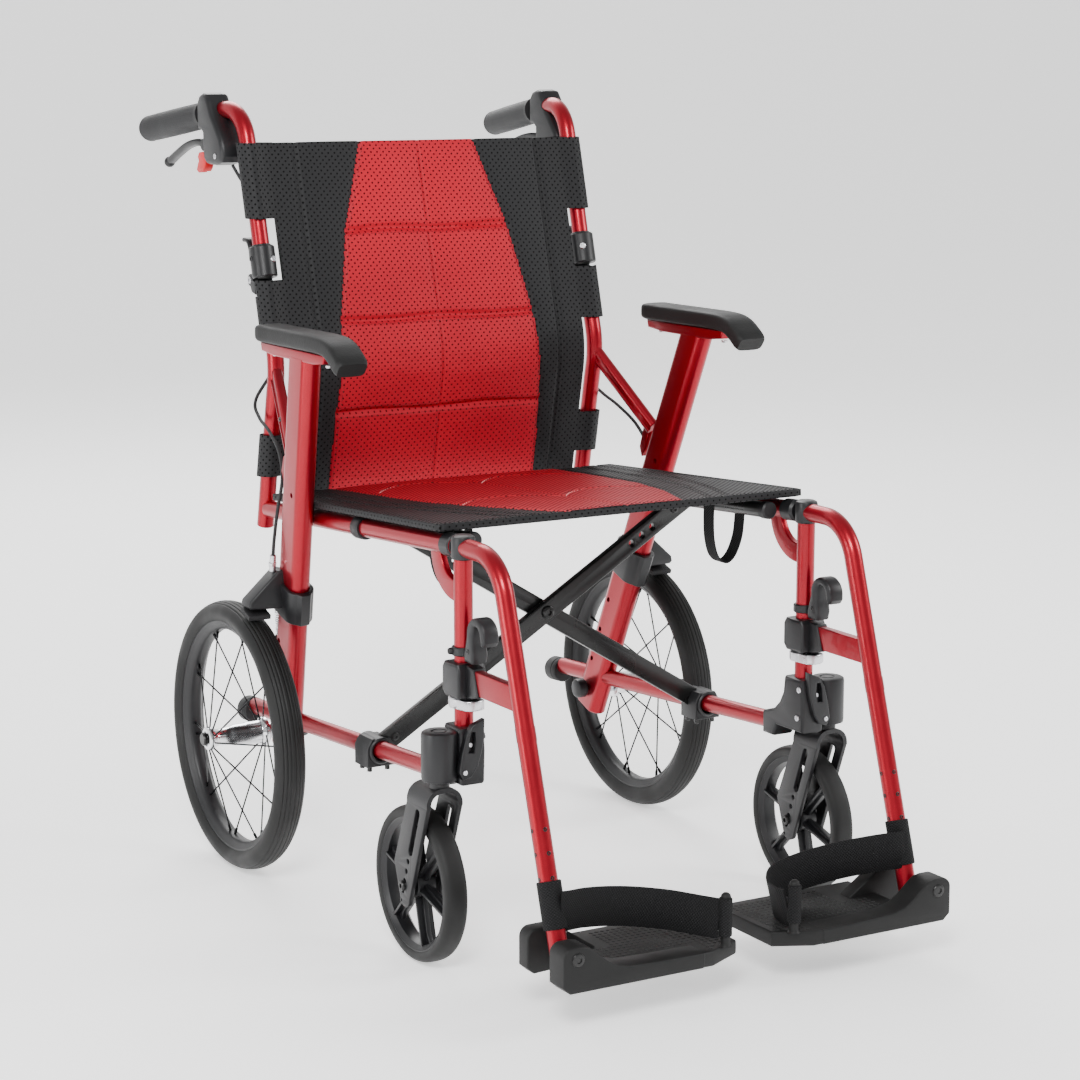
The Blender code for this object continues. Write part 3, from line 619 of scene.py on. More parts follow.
def back_post(side, label):
    body = f"frame_{label}"
    post = sweep("post", RED, smooth_path([at(side, FRAME_X, post_y(z), z) for z in
                                           (0.437, 0.5, 0.56, 0.61, 0.637, 0.664, 0.69, 0.712, 0.7345)], 5),
                 circle(TUBE_R), bevel=0.001)
    top, foot = at(side, 0.239, 0.004, 0.642), at(side, 0.266, -0.101, 0.5472)
    along = (foot - top).normalized()
    flat = along.cross(Vector((1, 0, 0))).normalized()
    groove = [(u, v * (0.78 if abs(u) < 0.0035 else 1)) for u, v in grooved_stadium(0.022, 0.014)]
    brace = sweep("brace", RED, [top, foot], groove, up=flat, bevel=0.001)
    web = [(-0.098, 0.545), (-0.084, 0.548), (-0.074, 0.52), (-0.079, 0.507), (-0.089, 0.518)]
    foot_web = side_plate("web", RED, [web], 0.01, side, 0.266, 0.0015)
    dress(merge(f"back_post_tube_{label}", [post, brace, foot_web]), body, "red_paint", f"back_post_{label}")
    # painted shade: a thin black disc on the brace stands in for the dark inside of its hole
    hole = bolt(f"brace_hole_shade_{label}", STEEL, top.lerp(foot, 0.55) + Vector((side * 0.0068, 0, 0)),
                (side, 0, 0), 0.003, 0.0008)
    dress(hole, body, "black_steel")


def grooved_stadium(length, width):
    """A stadium whose flat sides have points for a groove."""
    half = (length - width) / 2
    flat = [-0.8, -0.35, -0.3, 0.3, 0.35, 0.8]
    upper = [(half * -t, width / 2) for t in flat]
    lower = [(half * t, -width / 2) for t in flat]
    return arc((half, 0), width / 2, -90, 90, 12) + upper + arc((-half, 0), width / 2, 90, 270, 12) + lower


def back_hinge(side, label):
    """Socket and ears on the post, and the collar, tongue and pin on the cane."""
    body, cane = f"frame_{label}", f"cane_{label}"
    socket = sweep("socket", PLASTIC, [at(side, FRAME_X, post_y(z), z) for z in (0.7385, 0.7525)],
                   circle(0.0142), bevel=0.0015)
    outline = [(0.034, 0.7555), (0.034, 0.7395), (0.045, 0.742)]
    outline += arc((HINGE_Y, HINGE_Z), 0.008, -90, 180, 20)
    ears = [side_plate("ear", PLASTIC, [outline], 0.006, side, FRAME_X + x, 0.0006) for x in (-0.011, 0.011)]
    pin = [bolt("pin", ZINC, at(side, FRAME_X + x, HINGE_Y, HINGE_Z), (side * x, 0, 0), 0.0045, 0.002)
           for x in (-0.014, 0.014)]
    dress(merge(f"hinge_socket_{label}", [socket, *ears, *pin]), body, "black_plastic",
          f"hinge_bracket_{label}")
    collar_path = [at(side, FRAME_X, post_y(z), z) for z in (0.7605, 0.7995)]
    collar = sweep("collar", PLASTIC, collar_path, stadium_shift(0.0165, 0.006), up=Vector((0, 1, 0)),
                   bevel=0.0015)
    slot = box_tool(at(side, FRAME_X - 0.03, 0.0406, 0.745), at(side, FRAME_X + 0.03, 0.09, 0.7665))
    cut(collar, slot)
    ring = sweep("ring", PLASTIC, [at(side, FRAME_X, post_y(z), z) for z in (0.7985, 0.8015)], circle(0.0128),
                 bevel=0.0008)
    tongue = arc((HINGE_Y, HINGE_Z), 0.008, 180, 360, 20) + [(0.056, 0.774), (0.04, 0.776), (0.04, 0.759)]
    tongue = side_plate("tongue", PLASTIC, [tongue], 0.0145, side, FRAME_X, 0.0008)
    dress(merge(f"hinge_collar_{label}", [collar, ring, tongue]), cane, "black_plastic",
          f"cane_collar_{label}")
    pins = [bolt("pin", ZINC, at(side, FRAME_X - 0.0075, post_y(0.785) - 0.0143, 0.785),
                 (-side * 0.46, -0.89, 0.2), 0.0044, 0.0024),
            bolt("pin", PLASTIC, at(side, FRAME_X + 0.016, post_y(0.785), 0.785), (side, 0, 0), 0.004,
                 0.0014)]
    dress(merge(f"hinge_pins_{label}", pins), cane, "black_steel")
    lever = [at(side, FRAME_X, *p) for p in [(0.064, 0.779), (0.065, 0.787), (0.0665, 0.794),
                                                     (0.07, 0.8005), (0.0765, 0.8055), (0.088, 0.806)]]
    blade = sweep("blade", PLASTIC, smooth_path(lever, 5), stadium(0.015, 0.0062, 8), up=Vector((1, 0, 0)),
                  bevel=0.0015)
    dress(merge(f"fold_release_{label}", [blade]), f"fold_lever_{label}", "black_plastic",
          f"fold_lever_{label}")


def stadium_shift(radius, back):
    """A round section drawn out towards the back."""
    return arc((0, 0), radius, 60, 300, 24) + arc((back, 0), radius - 0.003, -60, 60, 12)


def box_tool(low, high):
    low, high = Vector(low), Vector(high)
    bm = bmesh.new()
    bmesh.ops.create_cube(bm, size=1)
    size = high - low
    bmesh.ops.transform(bm, matrix=Matrix.Translation((low + high) / 2)
                        @ Matrix.Diagonal((abs(size.x), abs(size.y), abs(size.z), 1)), verts=bm.verts)
    return keep(bm, "tool", PLASTIC)


def arm_pad(side, label):
    """Skinned foam pad: rounded, drooping at the front, slightly narrower at the rear."""
    line = smooth_path([(-0.0725, 0.703), (-0.11, 0.703), (-0.18, 0.7035), (-0.245, 0.7035), (-0.272, 0.6995),
                        (-0.2915, 0.689), (-0.305, 0.6785)], 8)
    rings = []
    count = 40
    total = len(line)
    for i, point in enumerate(line):
        t = i / (total - 1)
        ends = 0.9 + 0.1 * math.sqrt(max(0.0, 1 - (1 - min(i, 4) / 4) ** 2))
        nose = 1 - 0.12 * max(0.0, (t - 0.92) / 0.08) ** 2
        half_x, half_z = 0.021 * ends * nose, 0.011 * ends * (1 - 0.1 * max(0.0, (t - 0.9) / 0.1) ** 2)
        ahead = Vector(line[min(i + 1, total - 1)]) - Vector(line[max(i - 1, 0)])
        normal = Vector((0, ahead[1], -ahead[0])).normalized()
        ring = []
        for j in range(count):
            a = 2 * math.pi * j / count
            c, s = math.cos(a), math.sin(a)
            u = half_x * math.copysign(abs(c) ** 0.38, c)
            v = half_z * math.copysign(abs(s) ** 0.46, s)
            v += 0.0008 * (1 - (u / 0.02) ** 2) if s > 0 else 0
            ring.append(at(side, 0.2825, point[0], point[1]) + Vector((u, 0, 0)) - normal * v)
        rings.append(ring)
    pad = keep(skin(rings), f"arm_pad_skin_{label}", PAD, 60)
    dress(pad, f"frame_{label}", "armrest_foam", f"arm_pad_{label}")


# Wheels

def rear_wheel(side, label):
    centre = at(side, WHEEL_X, 0, WHEEL_R)
    body = f"rear_wheel_{label}"
    grooves = (0.003, 0.008, 0.0125)
    section = []
    for i in range(240):
        a = 2 * math.pi * i / 240
        r, h = 0.1604 + 0.0146 * math.cos(a), 0.0205 * math.sin(a)
        if r > 0.1655:
            r -= max(0.001 * math.exp(-((abs(h) - g) / 0.0007) ** 2) for g in grooves)
        elif r < 0.154:
            r -= 0.0006 * math.exp(-((r - 0.1505) / 0.0008) ** 2)
        if r > 0.1655 or i % 4 == 0:
            section.append((r, h))
    dress(turned(f"rear_tyre_skin_{label}", TYRE, section, centre, "X", 128, True), body, "tyre",
          f"rear_tyre_{label}")
    rim_profile = [(0.1505, 0.0125), (0.1495, 0.014), (0.147, 0.0142), (0.145, 0.0125), (0.1425, 0.0105),
                   (0.1395, 0.0085), (0.138, 0.005), (0.1376, 0.0)]
    rim_profile += [(r, -h) for r, h in reversed(rim_profile[:-1])]
    rim = turned("rim", PLASTIC, rim_profile, centre, "X", 128, True)
    spokes = []
    for i in range(10):
        for lean, x in ((1, -0.034 * side), (-1, 0.0385 * side)):
            turn = 2 * math.pi * (i + 0.25 * (1 - lean)) / 10
            rim_turn = turn + lean * 0.42
            hub_r = 0.0145 if lean > 0 else 0.0115
            inner = centre + Vector((x, hub_r * math.cos(turn), hub_r * math.sin(turn)))
            outer = centre + Vector((0, 0.1385 * math.cos(rim_turn), 0.1385 * math.sin(rim_turn)))
            spokes.append(sweep("spoke", SPOKE, [inner, outer], circle(0.00105, 8)))
            away = (outer - inner).normalized()
            spokes.append(sweep("nipple", SPOKE, [outer - away * 0.009, outer], circle(0.0019, 8)))
    dress(merge(f"rear_rim_wheel_{label}", [rim, *spokes]), body, "black_rim", f"rear_rim_{label}")
    hub_profile = [(0.006, -0.0398), (0.0175, -0.0398), (0.0188, -0.0385), (0.019, -0.0345), (0.018, -0.0325),
                   (0.016, -0.031), (0.015, -0.029), (0.0147, -0.012), (0.0138, -0.01), (0.0135, 0.006),
                   (0.0118, 0.011), (0.0108, 0.024), (0.0112, 0.031), (0.014, 0.035), (0.0152, 0.037),
                   (0.0155, 0.04), (0.0148, 0.0425), (0.0125, 0.0437), (0.0102, 0.0437), (0.0098, 0.0415),
                   (0.006, 0.0415)]
    hub = turned("hub", CHROME, [(r, h * side) for r, h in hub_profile], centre, "X", 72, True)
    dress(merge(f"rear_hub_{label}", [hub]), body, "black_rim")
    axle = sweep("axle", STEEL, [at(side, 0.2205, 0, WHEEL_R), at(side, 0.35, 0, WHEEL_R)],
                 circle(0.0055, 24))
    washer = rod("washer", ZINC, at(side, 0.2505, 0, WHEEL_R), at(side, 0.2625, 0, WHEEL_R), 0.0105)
    end = rod("end", STEEL, at(side, 0.3465, 0, WHEEL_R), at(side, 0.3535, 0, WHEEL_R), 0.0085, 0.0015)
    dress(merge(f"rear_axle_bolt_{label}", [axle, washer, end]), f"frame_{label}", "black_steel",
          f"rear_axle_{label}")


def caster(side, label):
    centre = at(side, CASTER_X, CASTER_Y, CASTER_R)
    fork_body, wheel_body = f"caster_fork_{label}", f"caster_wheel_{label}"
    section = []
    for i in range(56):
        a = 2 * math.pi * i / 56
        c, s = math.cos(a), math.sin(a)
        r = 0.0845 + 0.0082 * math.copysign(abs(c) ** 0.8, c)
        h = 0.0146 * math.copysign(abs(s) ** 0.7, s)
        section.append((r, h))
    dress(turned(f"caster_tyre_skin_{label}", TYRE, section, centre, "X", 96, True), wheel_body, "tyre",
          f"caster_tyre_{label}")
    rim_profile = [(0.0795, 0.0125), (0.0778, 0.0128), (0.0755, 0.0105), (0.072, 0.0078), (0.0712, 0.0)]
    rim_profile += [(r, -h) for r, h in reversed(rim_profile[:-1])] + [(0.08, -0.01), (0.08, 0.01)]
    pieces = [turned("rim", PLASTIC, rim_profile, centre, "X", 96, True)]
    hub_profile = [(0.0048, 0.013), (0.012, 0.013), (0.016, 0.0118), (0.0172, 0.009), (0.016, 0.003)]
    hub_profile += [(r, -h) for r, h in reversed(hub_profile)]
    pieces.append(turned("hub", PLASTIC, hub_profile, centre, "X", 48, True))
    for i in range(6):
        turn = basis((0, 1, 0), (0, 0, 1), (0, 0, 0)) @ Matrix.Rotation(2 * math.pi * (i + 0.25) / 6, 4, "Z")
        outline = [(0.0145, -0.0062), (0.06, -0.0048), (0.0735, -0.01), (0.0735, 0.01), (0.06, 0.0048),
                   (0.0145, 0.0062)]
        web = plate("web", PLASTIC, [outline], 0.006, turn, 0.001)
        rib = plate("rib", PLASTIC, [[(0.012, -0.0017), (0.073, -0.0017), (0.073, 0.0017), (0.012, 0.0017)]],
                    0.02, turn, 0.0006)
        for part in (web, rib):
            part.data.transform(Matrix.Translation(centre))
            pieces.append(part)
    dress(merge(f"caster_rim_wheel_{label}", pieces), wheel_body, "black_plastic", f"caster_rim_{label}")
    slot_top, slot_low = (-0.485, 0.1885), (-0.4665, 0.138)
    lean = math.degrees(math.atan2(slot_low[1] - slot_top[1], slot_low[0] - slot_top[0]))
    cheek = ([(-0.5085, 0.1985), (-0.463, 0.079)] + arc((-0.4515, 0.079), 0.0115, 200, 345, 10)
             + [(-0.4255, 0.118), (-0.459, 0.1985)])
    slot = arc(slot_top, 0.0048, lean + 90, lean + 270, 10) + arc(slot_low, 0.0048, lean - 90, lean + 90, 10)
    holes = []
    for i in range(5):
        spot = (-0.4605 + 0.0045 * i, 0.125 - 0.0128 * i)
        holes.append([(spot[0] + u, spot[1] + v) for u, v in circle(0.003, 16)])
    pieces = []
    for x in (-0.0205, 0.0205):
        pieces.append(side_plate("cheek", PLASTIC, [cheek, slot, *holes], 0.0056, side, CASTER_X + x, 0.0008))
    legs = [at(side, CASTER_X + x, -0.4838, z) for x, z in ((-0.0205, 0.198), (-0.0205, 0.2175),
                                                            (0.0205, 0.2175), (0.0205, 0.198))]
    crown = sweep("crown", PLASTIC, rounded(legs, 0.0165, 14), [(-0.0247, -0.0028), (0.0247, -0.0028),
                                                                (0.0247, 0.0028), (-0.0247, 0.0028)],
                  up=Vector((0, 1, 0)), bevel=0.0003)
    pieces.append(crown)
    pieces.append(rod("boss", PLASTIC, at(side, CASTER_X, STEM_Y, 0.215), at(side, CASTER_X, STEM_Y, 0.227),
                      0.0115, 0.001))
    dress(merge(f"caster_fork_arms_{label}", pieces), fork_body, "black_plastic", f"caster_fork_{label}")
    bolts = [bolt("axle", STEEL, centre + Vector((x, 0, 0)), (x, 0, 0), 0.0062, 0.0035)
             for x in (-0.0233, 0.0233)]
    bolts.append(rod("shaft", ZINC, centre - Vector((0.0232, 0, 0)), centre + Vector((0.0232, 0, 0)), 0.0042))
    dress(merge(f"caster_axle_{label}", bolts), fork_body, "black_steel")


def caster_housing(side, label):
    body = f"frame_{label}"
    outline = [(-0.429, 0.206), (-0.429, 0.2345), (-0.452, 0.242), (-0.464, 0.253), (-0.472, 0.268),
               (-0.4745, 0.288), (-0.512, 0.288), (-0.515, 0.26), (-0.513, 0.2215), (-0.458, 0.2212),
               (-0.4505, 0.206)]
    elbow = side_plate("elbow", PLASTIC, [outline], 0.034, side, FRAME_X, 0.005)
    wing = [(0.2262, 0.299), (0.227, 0.28), (0.2298, 0.262), (0.2355, 0.244), (0.243, 0.233), (0.254, 0.23),
            (0.259, 0.24), (0.2555, 0.26), (0.25, 0.28), (0.242, 0.2925)]
    slot = [(0.2385, 0.285), (0.243, 0.285), (0.2455, 0.278), (0.247, 0.261), (0.24, 0.261), (0.2375, 0.274)]
    shell = cross_plate("shell", PLASTIC, side, [wing, slot], -0.5215, -0.512, 0.0014)
    profile = [(0.00001, 0.2852), (0.007, 0.2852), (0.0085, 0.284), (0.01, 0.2852), (0.0185, 0.2852),
               (0.0205, 0.284), (0.0212, 0.2815), (0.0212, 0.232), (0.0205, 0.2285), (0.018, 0.2275),
               (0.00001, 0.2275)]
    stem = turned("stem", PLASTIC, profile, at(side, CASTER_X, STEM_Y, 0), "Z", 56)
    screws = [bolt("screw", ZINC, at(side, FRAME_X - 0.0172, y, z), (-side, 0, 0), 0.0038, 0.0016)
              for y, z in ((-0.508, 0.276), (-0.505, 0.24))]
    screws += [bolt("rivet", ZINC, at(side, x, y, z), (0, -1, 0), 0.003, 0.0016)
               for x, y, z in ((0.2418, -0.515, 0.269), (0.252, -0.5213, 0.239))]
    dress(merge(f"caster_housing_shell_{label}", [elbow, shell, stem]), body, "black_plastic",
          f"caster_housing_{label}")
    dress(merge(f"caster_housing_screws_{label}", screws), body, "black_steel")


# Footrests

def hanger(side, label):
    body = f"hanger_{label}"
    corner = at(side, FRAME_X, tube_y(0.4945), 0.4945)
    path = rounded([at(side, FRAME_X, -0.5, 0.4945), corner, at(side, FRAME_X, tube_y(0.06), 0.06)], 0.058,
                   16)
    bar = sweep("bar", RED, path, circle(TUBE_R), bevel=0.0012)
    lower = sweep("socket", RED, [at(side, FRAME_X, tube_y(z), z) for z in (0.3, 0.315)], circle(0.0114))
    link = [(tube_y(0.33) + 0.004, 0.33), (tube_y(0.358) + 0.004, 0.358), (-0.512, 0.358), (-0.512, 0.33)]
    link = side_plate("link", RED, [link], 0.012, side, FRAME_X, 0.0015)
    dress(merge(f"hanger_tube_{label}", [bar, lower, link]), body, "red_paint", f"hanger_{label}")
    cap_profile = [(0.00001, 0.5085), (0.01, 0.5085), (0.0128, 0.507), (0.0138, 0.504), (0.0138, 0.483),
                   (0.0128, 0.4812), (0.011, 0.4812)]
    cap = turned("cap", PLASTIC, cap_profile, at(side, FRAME_X, UPRIGHT_Y, 0), "Z", 48)
    clamp = [(-0.5135, 0.324), (-0.5135, 0.356), (-0.509, 0.3625), (-0.478, 0.3625), (-0.4735, 0.356),
             (-0.4735, 0.329), (-0.48, 0.322), (-0.508, 0.322)]
    clamp = side_plate("clamp", PLASTIC, [clamp], 0.037, side, FRAME_X, 0.004)
    tongue = side_plate("tongue", PLASTIC, [[(-0.513, 0.362), (-0.529, 0.36), (-0.54, 0.329),
                                             (-0.513, 0.322)]], 0.0165, side, FRAME_X, 0.002)
    knob = turned("knob", ZINC, [(0.0114, 0.3215), (0.0165, 0.3215), (0.0178, 0.32), (0.0178, 0.312),
                                 (0.0165, 0.3095), (0.013, 0.3085), (0.0114, 0.3085)],
                  at(side, FRAME_X, UPRIGHT_Y, 0), "Z", 48, True)
    nose = [(FRAME_X + x, UPRIGHT_Y + y) for x, y in ((-0.015, -0.008), (-0.013, -0.025), (-0.006, -0.029),
                                                      (0.004, -0.029), (0.012, -0.024), (0.015, -0.008))]
    nose += [(FRAME_X + x, UPRIGHT_Y + y) for x, y in ((0.011, -0.0125), (0, -0.0116), (-0.011, -0.0125))]
    nose = plate("nose", ZINC, [[(side * x, y) for x, y in nose]],
                 0.012, basis((1, 0, 0), (0, 1, 0), (0, AXLE_Y, 0.315)), 0.0015)
    band = turned("band", PLASTIC, [(0.0112, 0.37), (0.0132, 0.37), (0.014, 0.371), (0.014, 0.379),
                                    (0.0132, 0.38), (0.0112, 0.38)], at(side, FRAME_X, UPRIGHT_Y, 0), "Z", 40,
                  True)
    screw = bolt("screw", PLASTIC, at(side, FRAME_X + 0.012, UPRIGHT_Y + 0.003, 0.375), (side, 0.2, 0),
                 0.0042, 0.006)
    # painted shade: thin black discs on the tube stand in for the dark insides of its adjustment holes
    holes = []
    normal = Vector((0, -1, HANGER_SLOPE)).normalized()
    for z in (0.207, 0.182, 0.156):
        for x, n in ((TUBE_R - 0.0003, 1), (-TUBE_R + 0.0003, -1)):
            holes.append(bolt("hole", STEEL, at(side, FRAME_X + x, tube_y(z), z), (side * n, 0, 0), 0.0026,
                              0.0007))
        holes.append(bolt("hole", STEEL, at(side, FRAME_X, tube_y(z), z) + normal * (TUBE_R - 0.0003), normal,
                          0.0026, 0.0007))
    dress(merge(f"hanger_fittings_{label}", [cap, clamp, tongue, knob, nose, band, screw, *holes]), body,
          "black_plastic")
    hook = (-0.538, 0.4005)
    outline = ([(-0.512, 0.366), (-0.511, 0.376), (-0.5145, 0.386), (-0.5175, 0.396)]
               + arc(hook, 0.0205, 12, 172, 18) + [(-0.5585, 0.395), (-0.5545, 0.39), (-0.55, 0.3905)]
               + arc(hook, 0.01, 225, 60, 14)[6:] + [(-0.53, 0.399), (-0.531, 0.386), (-0.5325, 0.376),
                                                     (-0.53, 0.366)])
    lever = side_plate("lever", PLASTIC, [outline], 0.0215, side, FRAME_X, 0.004)
    dent = bolt("dent", STEEL, at(side, FRAME_X - 0.0107, -0.5225, 0.38), (-side, 0, 0), 0.003, 0.0008)
    outer = bolt("dent", STEEL, at(side, FRAME_X + 0.0107, -0.5225, 0.38), (side, 0, 0), 0.003, 0.0008)
    dress(merge(f"latch_hook_{label}", [lever, dent, outer]), f"latch_lever_{label}", "black_plastic",
          f"latch_lever_{label}")


def footplate(side, label):
    """Moulded sole with a raised grip pattern, hinge lugs, rim and heel post."""
    body = f"footplate_{label}"
    outer, inner, chamfer, front, rear = 0.216, 0.024, 0.068, -0.758, -0.622
    outline = [(outer, front), (chamfer, front), (inner, front + 0.022), (inner, rear + 0.012),
               (inner + 0.012, rear), (outer, rear)]
    sole = plate("sole", FOOT, [[(side * x, y) for x, y in outline]], 0.018,
                 basis((1, 0, 0), (0, 1, 0), (0, AXLE_Y, 0.057)), 0.003)
    pieces = [sole]
    lug = ([(0.262, 0.056), (0.262, 0.088)] + arc((0.25, 0.088), 0.012, 0, 80, 6)
           + [(0.24, 0.1), (0.23, 0.0983), (0.219, 0.09), (0.208, 0.08), (0.196, 0.0725), (0.18, 0.0685),
              (0.14, 0.0668), (0.08, 0.0661), (0.08, 0.052), (0.082, 0.0481), (0.253, 0.0481)])
    rear_lug = ([(0.262, 0.056), (0.262, 0.088)] + arc((0.25, 0.088), 0.012, 0, 80, 6)
                + [(0.23, 0.1), (0.22, 0.097), (0.176, 0.068), (0.17, 0.06), (0.17, 0.052), (0.253, 0.0481)])
    pieces.append(cross_plate("lug", FOOT, side, [lug], -0.759, -0.7265, 0.0022))
    pieces.append(cross_plate("lug", FOOT, side, [rear_lug], -0.6805, -0.66, 0.0022))
    cells = []
    for i in range(22):
        for j in range(16):
            x, y = 0.036 + 0.0074 * i, -0.748 + 0.0074 * j
            if (x - 0.046) ** 2 + (y + 0.748) ** 2 < 0.011 ** 2 or (x > 0.07 and y < -0.72):
                continue
            if y < front + 0.022 * (chamfer - x) / (chamfer - inner) + 0.007 or (x > 0.16 and y > -0.686):
                continue
            cells.append((x, y))
    pieces.append(tread(side, cells, 0.0655))
    post = turned("post", FOOT, [(0.00001, 0.1275), (0.003, 0.127), (0.0052, 0.125), (0.0058, 0.1225),
                                 (0.0052, 0.12), (0.0048, 0.119), (0.0056, 0.068), (0.0075, 0.0655),
                                 (0.00001, 0.064)], at(side, 0.0465, -0.748, 0), "Z", 28)
    pieces.append(post)
    dress(merge(f"footplate_sole_{label}", pieces), body, "black_plastic", f"footplate_{label}")
    heads = [bolt("head", STEEL, at(side, FRAME_X + 0.006, y, FOOT_PIVOT_Z + 0.002), (0, n, 0), 0.0078,
                  0.0016) for y, n in ((-0.759, -1), (-0.6598, 1))]
    dress(merge(f"footplate_bolt_{label}", heads), body, "black_steel")


def tread(side, cells, z):
    """Small frusta that stand on the sole in a diamond pattern."""
    bm = bmesh.new()
    for x, y in cells:
        rings = []
        for size, level in ((0.0034, z), (0.0026, z + 0.0011)):
            rings.append([bm.verts.new(at(side, x + u * size, y + v * size, level))
                          for u, v in ((-1, 0), (0, -1), (1, 0), (0, 1))])
        for k in range(4):
            bm.faces.new((rings[0][k], rings[0][(k + 1) % 4], rings[1][(k + 1) % 4], rings[1][k]))
        bm.faces.new(rings[1])
        bm.faces.new(rings[0])
    bmesh.ops.recalc_face_normals(bm, faces=bm.faces)
    return keep(bm, "tread", FOOT)


def heel_strap(side, label):
    """Webbing sleeve on the hanger tube and the band that runs behind the heel to the post."""
    tube_point = at(side, FRAME_X, tube_y(0.128), 0.128)
    if side < 0:
        route = [(0.235, -0.7068, 0.1245), (0.224, -0.705, 0.1235), (0.2, -0.697, 0.1205),
                 (0.165, -0.691, 0.115), (0.13, -0.692, 0.109), (0.095, -0.704, 0.103),
                 (0.068, -0.726, 0.0985), (0.0535, -0.745, 0.0975)]
    else:
        route = [(0.235, -0.7068, 0.1245), (0.224, -0.705, 0.1235), (0.2, -0.694, 0.1205),
                 (0.16, -0.678, 0.114), (0.118, -0.666, 0.1055), (0.078, -0.668, 0.0975),
                 (0.052, -0.694, 0.0925), (0.041, -0.725, 0.0925), (0.0405, -0.744, 0.094)]
    path = smooth_path([at(side, *p) for p in route], 10)
    band = sweep(f"heel_band_{label}", WEBBING, path,
                 [(-0.0225, -0.001), (-0.022, -0.0013), (0.022, -0.0013), (0.0225, -0.001), (0.0225, 0.001),
                  (0.022, 0.0013), (-0.022, 0.0013), (-0.0225, 0.001)], up=Vector((0, 0, 1)), angle=50)
    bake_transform(band)
    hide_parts(f"heel_strap_{label}")
    direction = Vector((0, tube_y(0.155) - tube_y(0.101), 0.054)).normalized()
    wrap = arc((0, 0), 0.0136, 24, 336, 36) + [(0.015, -0.002), (0.015, 0.002)]
    sleeve = sweep("sleeve", WEBBING, [tube_point - direction * 0.0265, tube_point, tube_point
                                       + direction * 0.0265], wrap, up=Vector((-side, 0, 0)), bevel=0.0008)
    loop = sweep("loop", WEBBING, [at(side, 0.047, -0.748, z) for z in (0.077, 0.1215)], circle(0.0078, 28),
                 bevel=0.0012)
    dress(merge(f"strap_sleeve_{label}", [sleeve]), f"hanger_{label}", "webbing")
    dress(merge(f"strap_loop_{label}", [loop]), f"footplate_{label}", "webbing")


# Brakes and handles

def spring(name, look, start, end, radius, wire, turns):
    axis = (end - start).normalized()
    u = axis.orthogonal().normalized()
    v = axis.cross(u)
    steps = int(turns * 14)
    path = [start.lerp(end, i / steps) + (u * math.cos(2 * math.pi * turns * i / steps)
                                          + v * math.sin(2 * math.pi * turns * i / steps)) * radius
            for i in range(steps + 1)]
    return sweep(name, look, path, circle(wire, 8))


def brake(side, label):
    body = f"frame_{label}"
    def strut_at(z):
        share = (z - STRUT_FOOT.z) / (STRUT_HEAD.z - STRUT_FOOT.z)
        return at(side, *STRUT_FOOT.lerp(STRUT_HEAD, share))
    low, high = strut_at(0.342), strut_at(0.384)
    along = (high - low).normalized()
    fore = (Vector((0, -1, 0)) - along * along.dot(Vector((0, -1, 0)))).normalized()
    place = basis(fore, along.cross(fore), (low + high) / 2)
    clamp = plate("clamp", PLASTIC, [stadium(0.066, 0.037, 16), stadium(0.0546, 0.0264, 16)],
                  (high - low).length, place, 0.0012)
    ridge = plate("ridge", PLASTIC, [[(0.03, -0.01), (0.0355, -0.006), (0.0355, 0.006), (0.03, 0.01)]],
                  (high - low).length, place, 0.0012)
    wing = [(0.25, 0.396), (0.268, 0.4015), (0.276, 0.3995), (0.315, 0.364), (0.3165, 0.357),
            (0.313, 0.3535), (0.25, 0.35)]
    wing = cross_plate("wing", PLASTIC, side, [wing], -0.0745, -0.0465, 0.003)
    dress(merge(f"brake_clamp_{label}", [clamp, ridge, wing]), body, "black_plastic", f"brake_block_{label}")
    barrel_foot, barrel_head = at(side, 0.279, -0.0625, 0.3985), at(side, 0.279, -0.066, 0.42)
    barrel = sweep("barrel", ZINC, [barrel_foot, barrel_head], circle(0.0042, 20), bevel=0.0008)
    nut = rod("nut", ZINC, barrel_foot.lerp(barrel_head, 0.35), barrel_foot.lerp(barrel_head, 0.55), 0.0056,
              0.0006, 6)
    coil = spring("coil", ZINC, at(side, 0.2655, -0.047, 0.348), at(side, 0.2575, -0.033, 0.308), 0.0036,
                  0.0007, 13)
    stud = bolt("stud", STEEL, at(side, 0.256, -0.03, 0.305), (side * 0.4, 1, 0), 0.005, 0.004)
    dress(merge(f"brake_fittings_{label}", [barrel, nut, coil, stud]), body, "black_steel")
    lean = math.radians(19)
    reach = WHEEL_R + 0.0017 + 0.0035 + 0.0006
    shoe = plate("shoe", GRIP, [[(-0.015, -0.013), (0.015, -0.013), (0.015, 0.013), (-0.015, 0.013)]], 0.007,
                 Matrix.Translation(at(side, WHEEL_X - 0.003, -reach * math.sin(lean), WHEEL_R
                                       + reach * math.cos(lean))) @ Matrix.Rotation(lean, 4, "X"), 0.0012)
    dress(merge(f"brake_shoe_pad_{label}", [shoe]), f"brake_shoe_{label}", "rubber", f"brake_shoe_{label}")
    behind = 0.2365 + side * 0.0165
    route = [(0.279, -0.066, 0.419), (0.279, -0.07, 0.44), (0.277, -0.078, 0.48),
             (0.271, -0.08, 0.518), (0.265, -0.06, 0.548), (0.26, -0.02, 0.57),
             (0.257, 0.018, 0.584), (0.25, 0.042, 0.604), (behind, 0.045, 0.65),
             (behind, 0.049, 0.705), (behind, 0.063, 0.76), (behind, 0.0745, 0.8),
             (behind, 0.088, 0.85), (0.238, 0.099, 0.88), (0.246, 0.111, 0.9005)]
    cable = sweep(f"brake_cable_sheath_{label}", GRIP, smooth_path([at(side, *p) for p in route], 8),
                  circle(0.0022, 12))
    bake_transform(cable)
    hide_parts(f"brake_cable_{label}")


def cane_path(side):
    return rounded([at(side, FRAME_X, post_y(0.8005), 0.8005), at(side, FRAME_X + 0.001, post_y(0.977),
                                                                  0.977), at(side, 0.249, 0.178, 0.9644)],
                   0.05, 18)


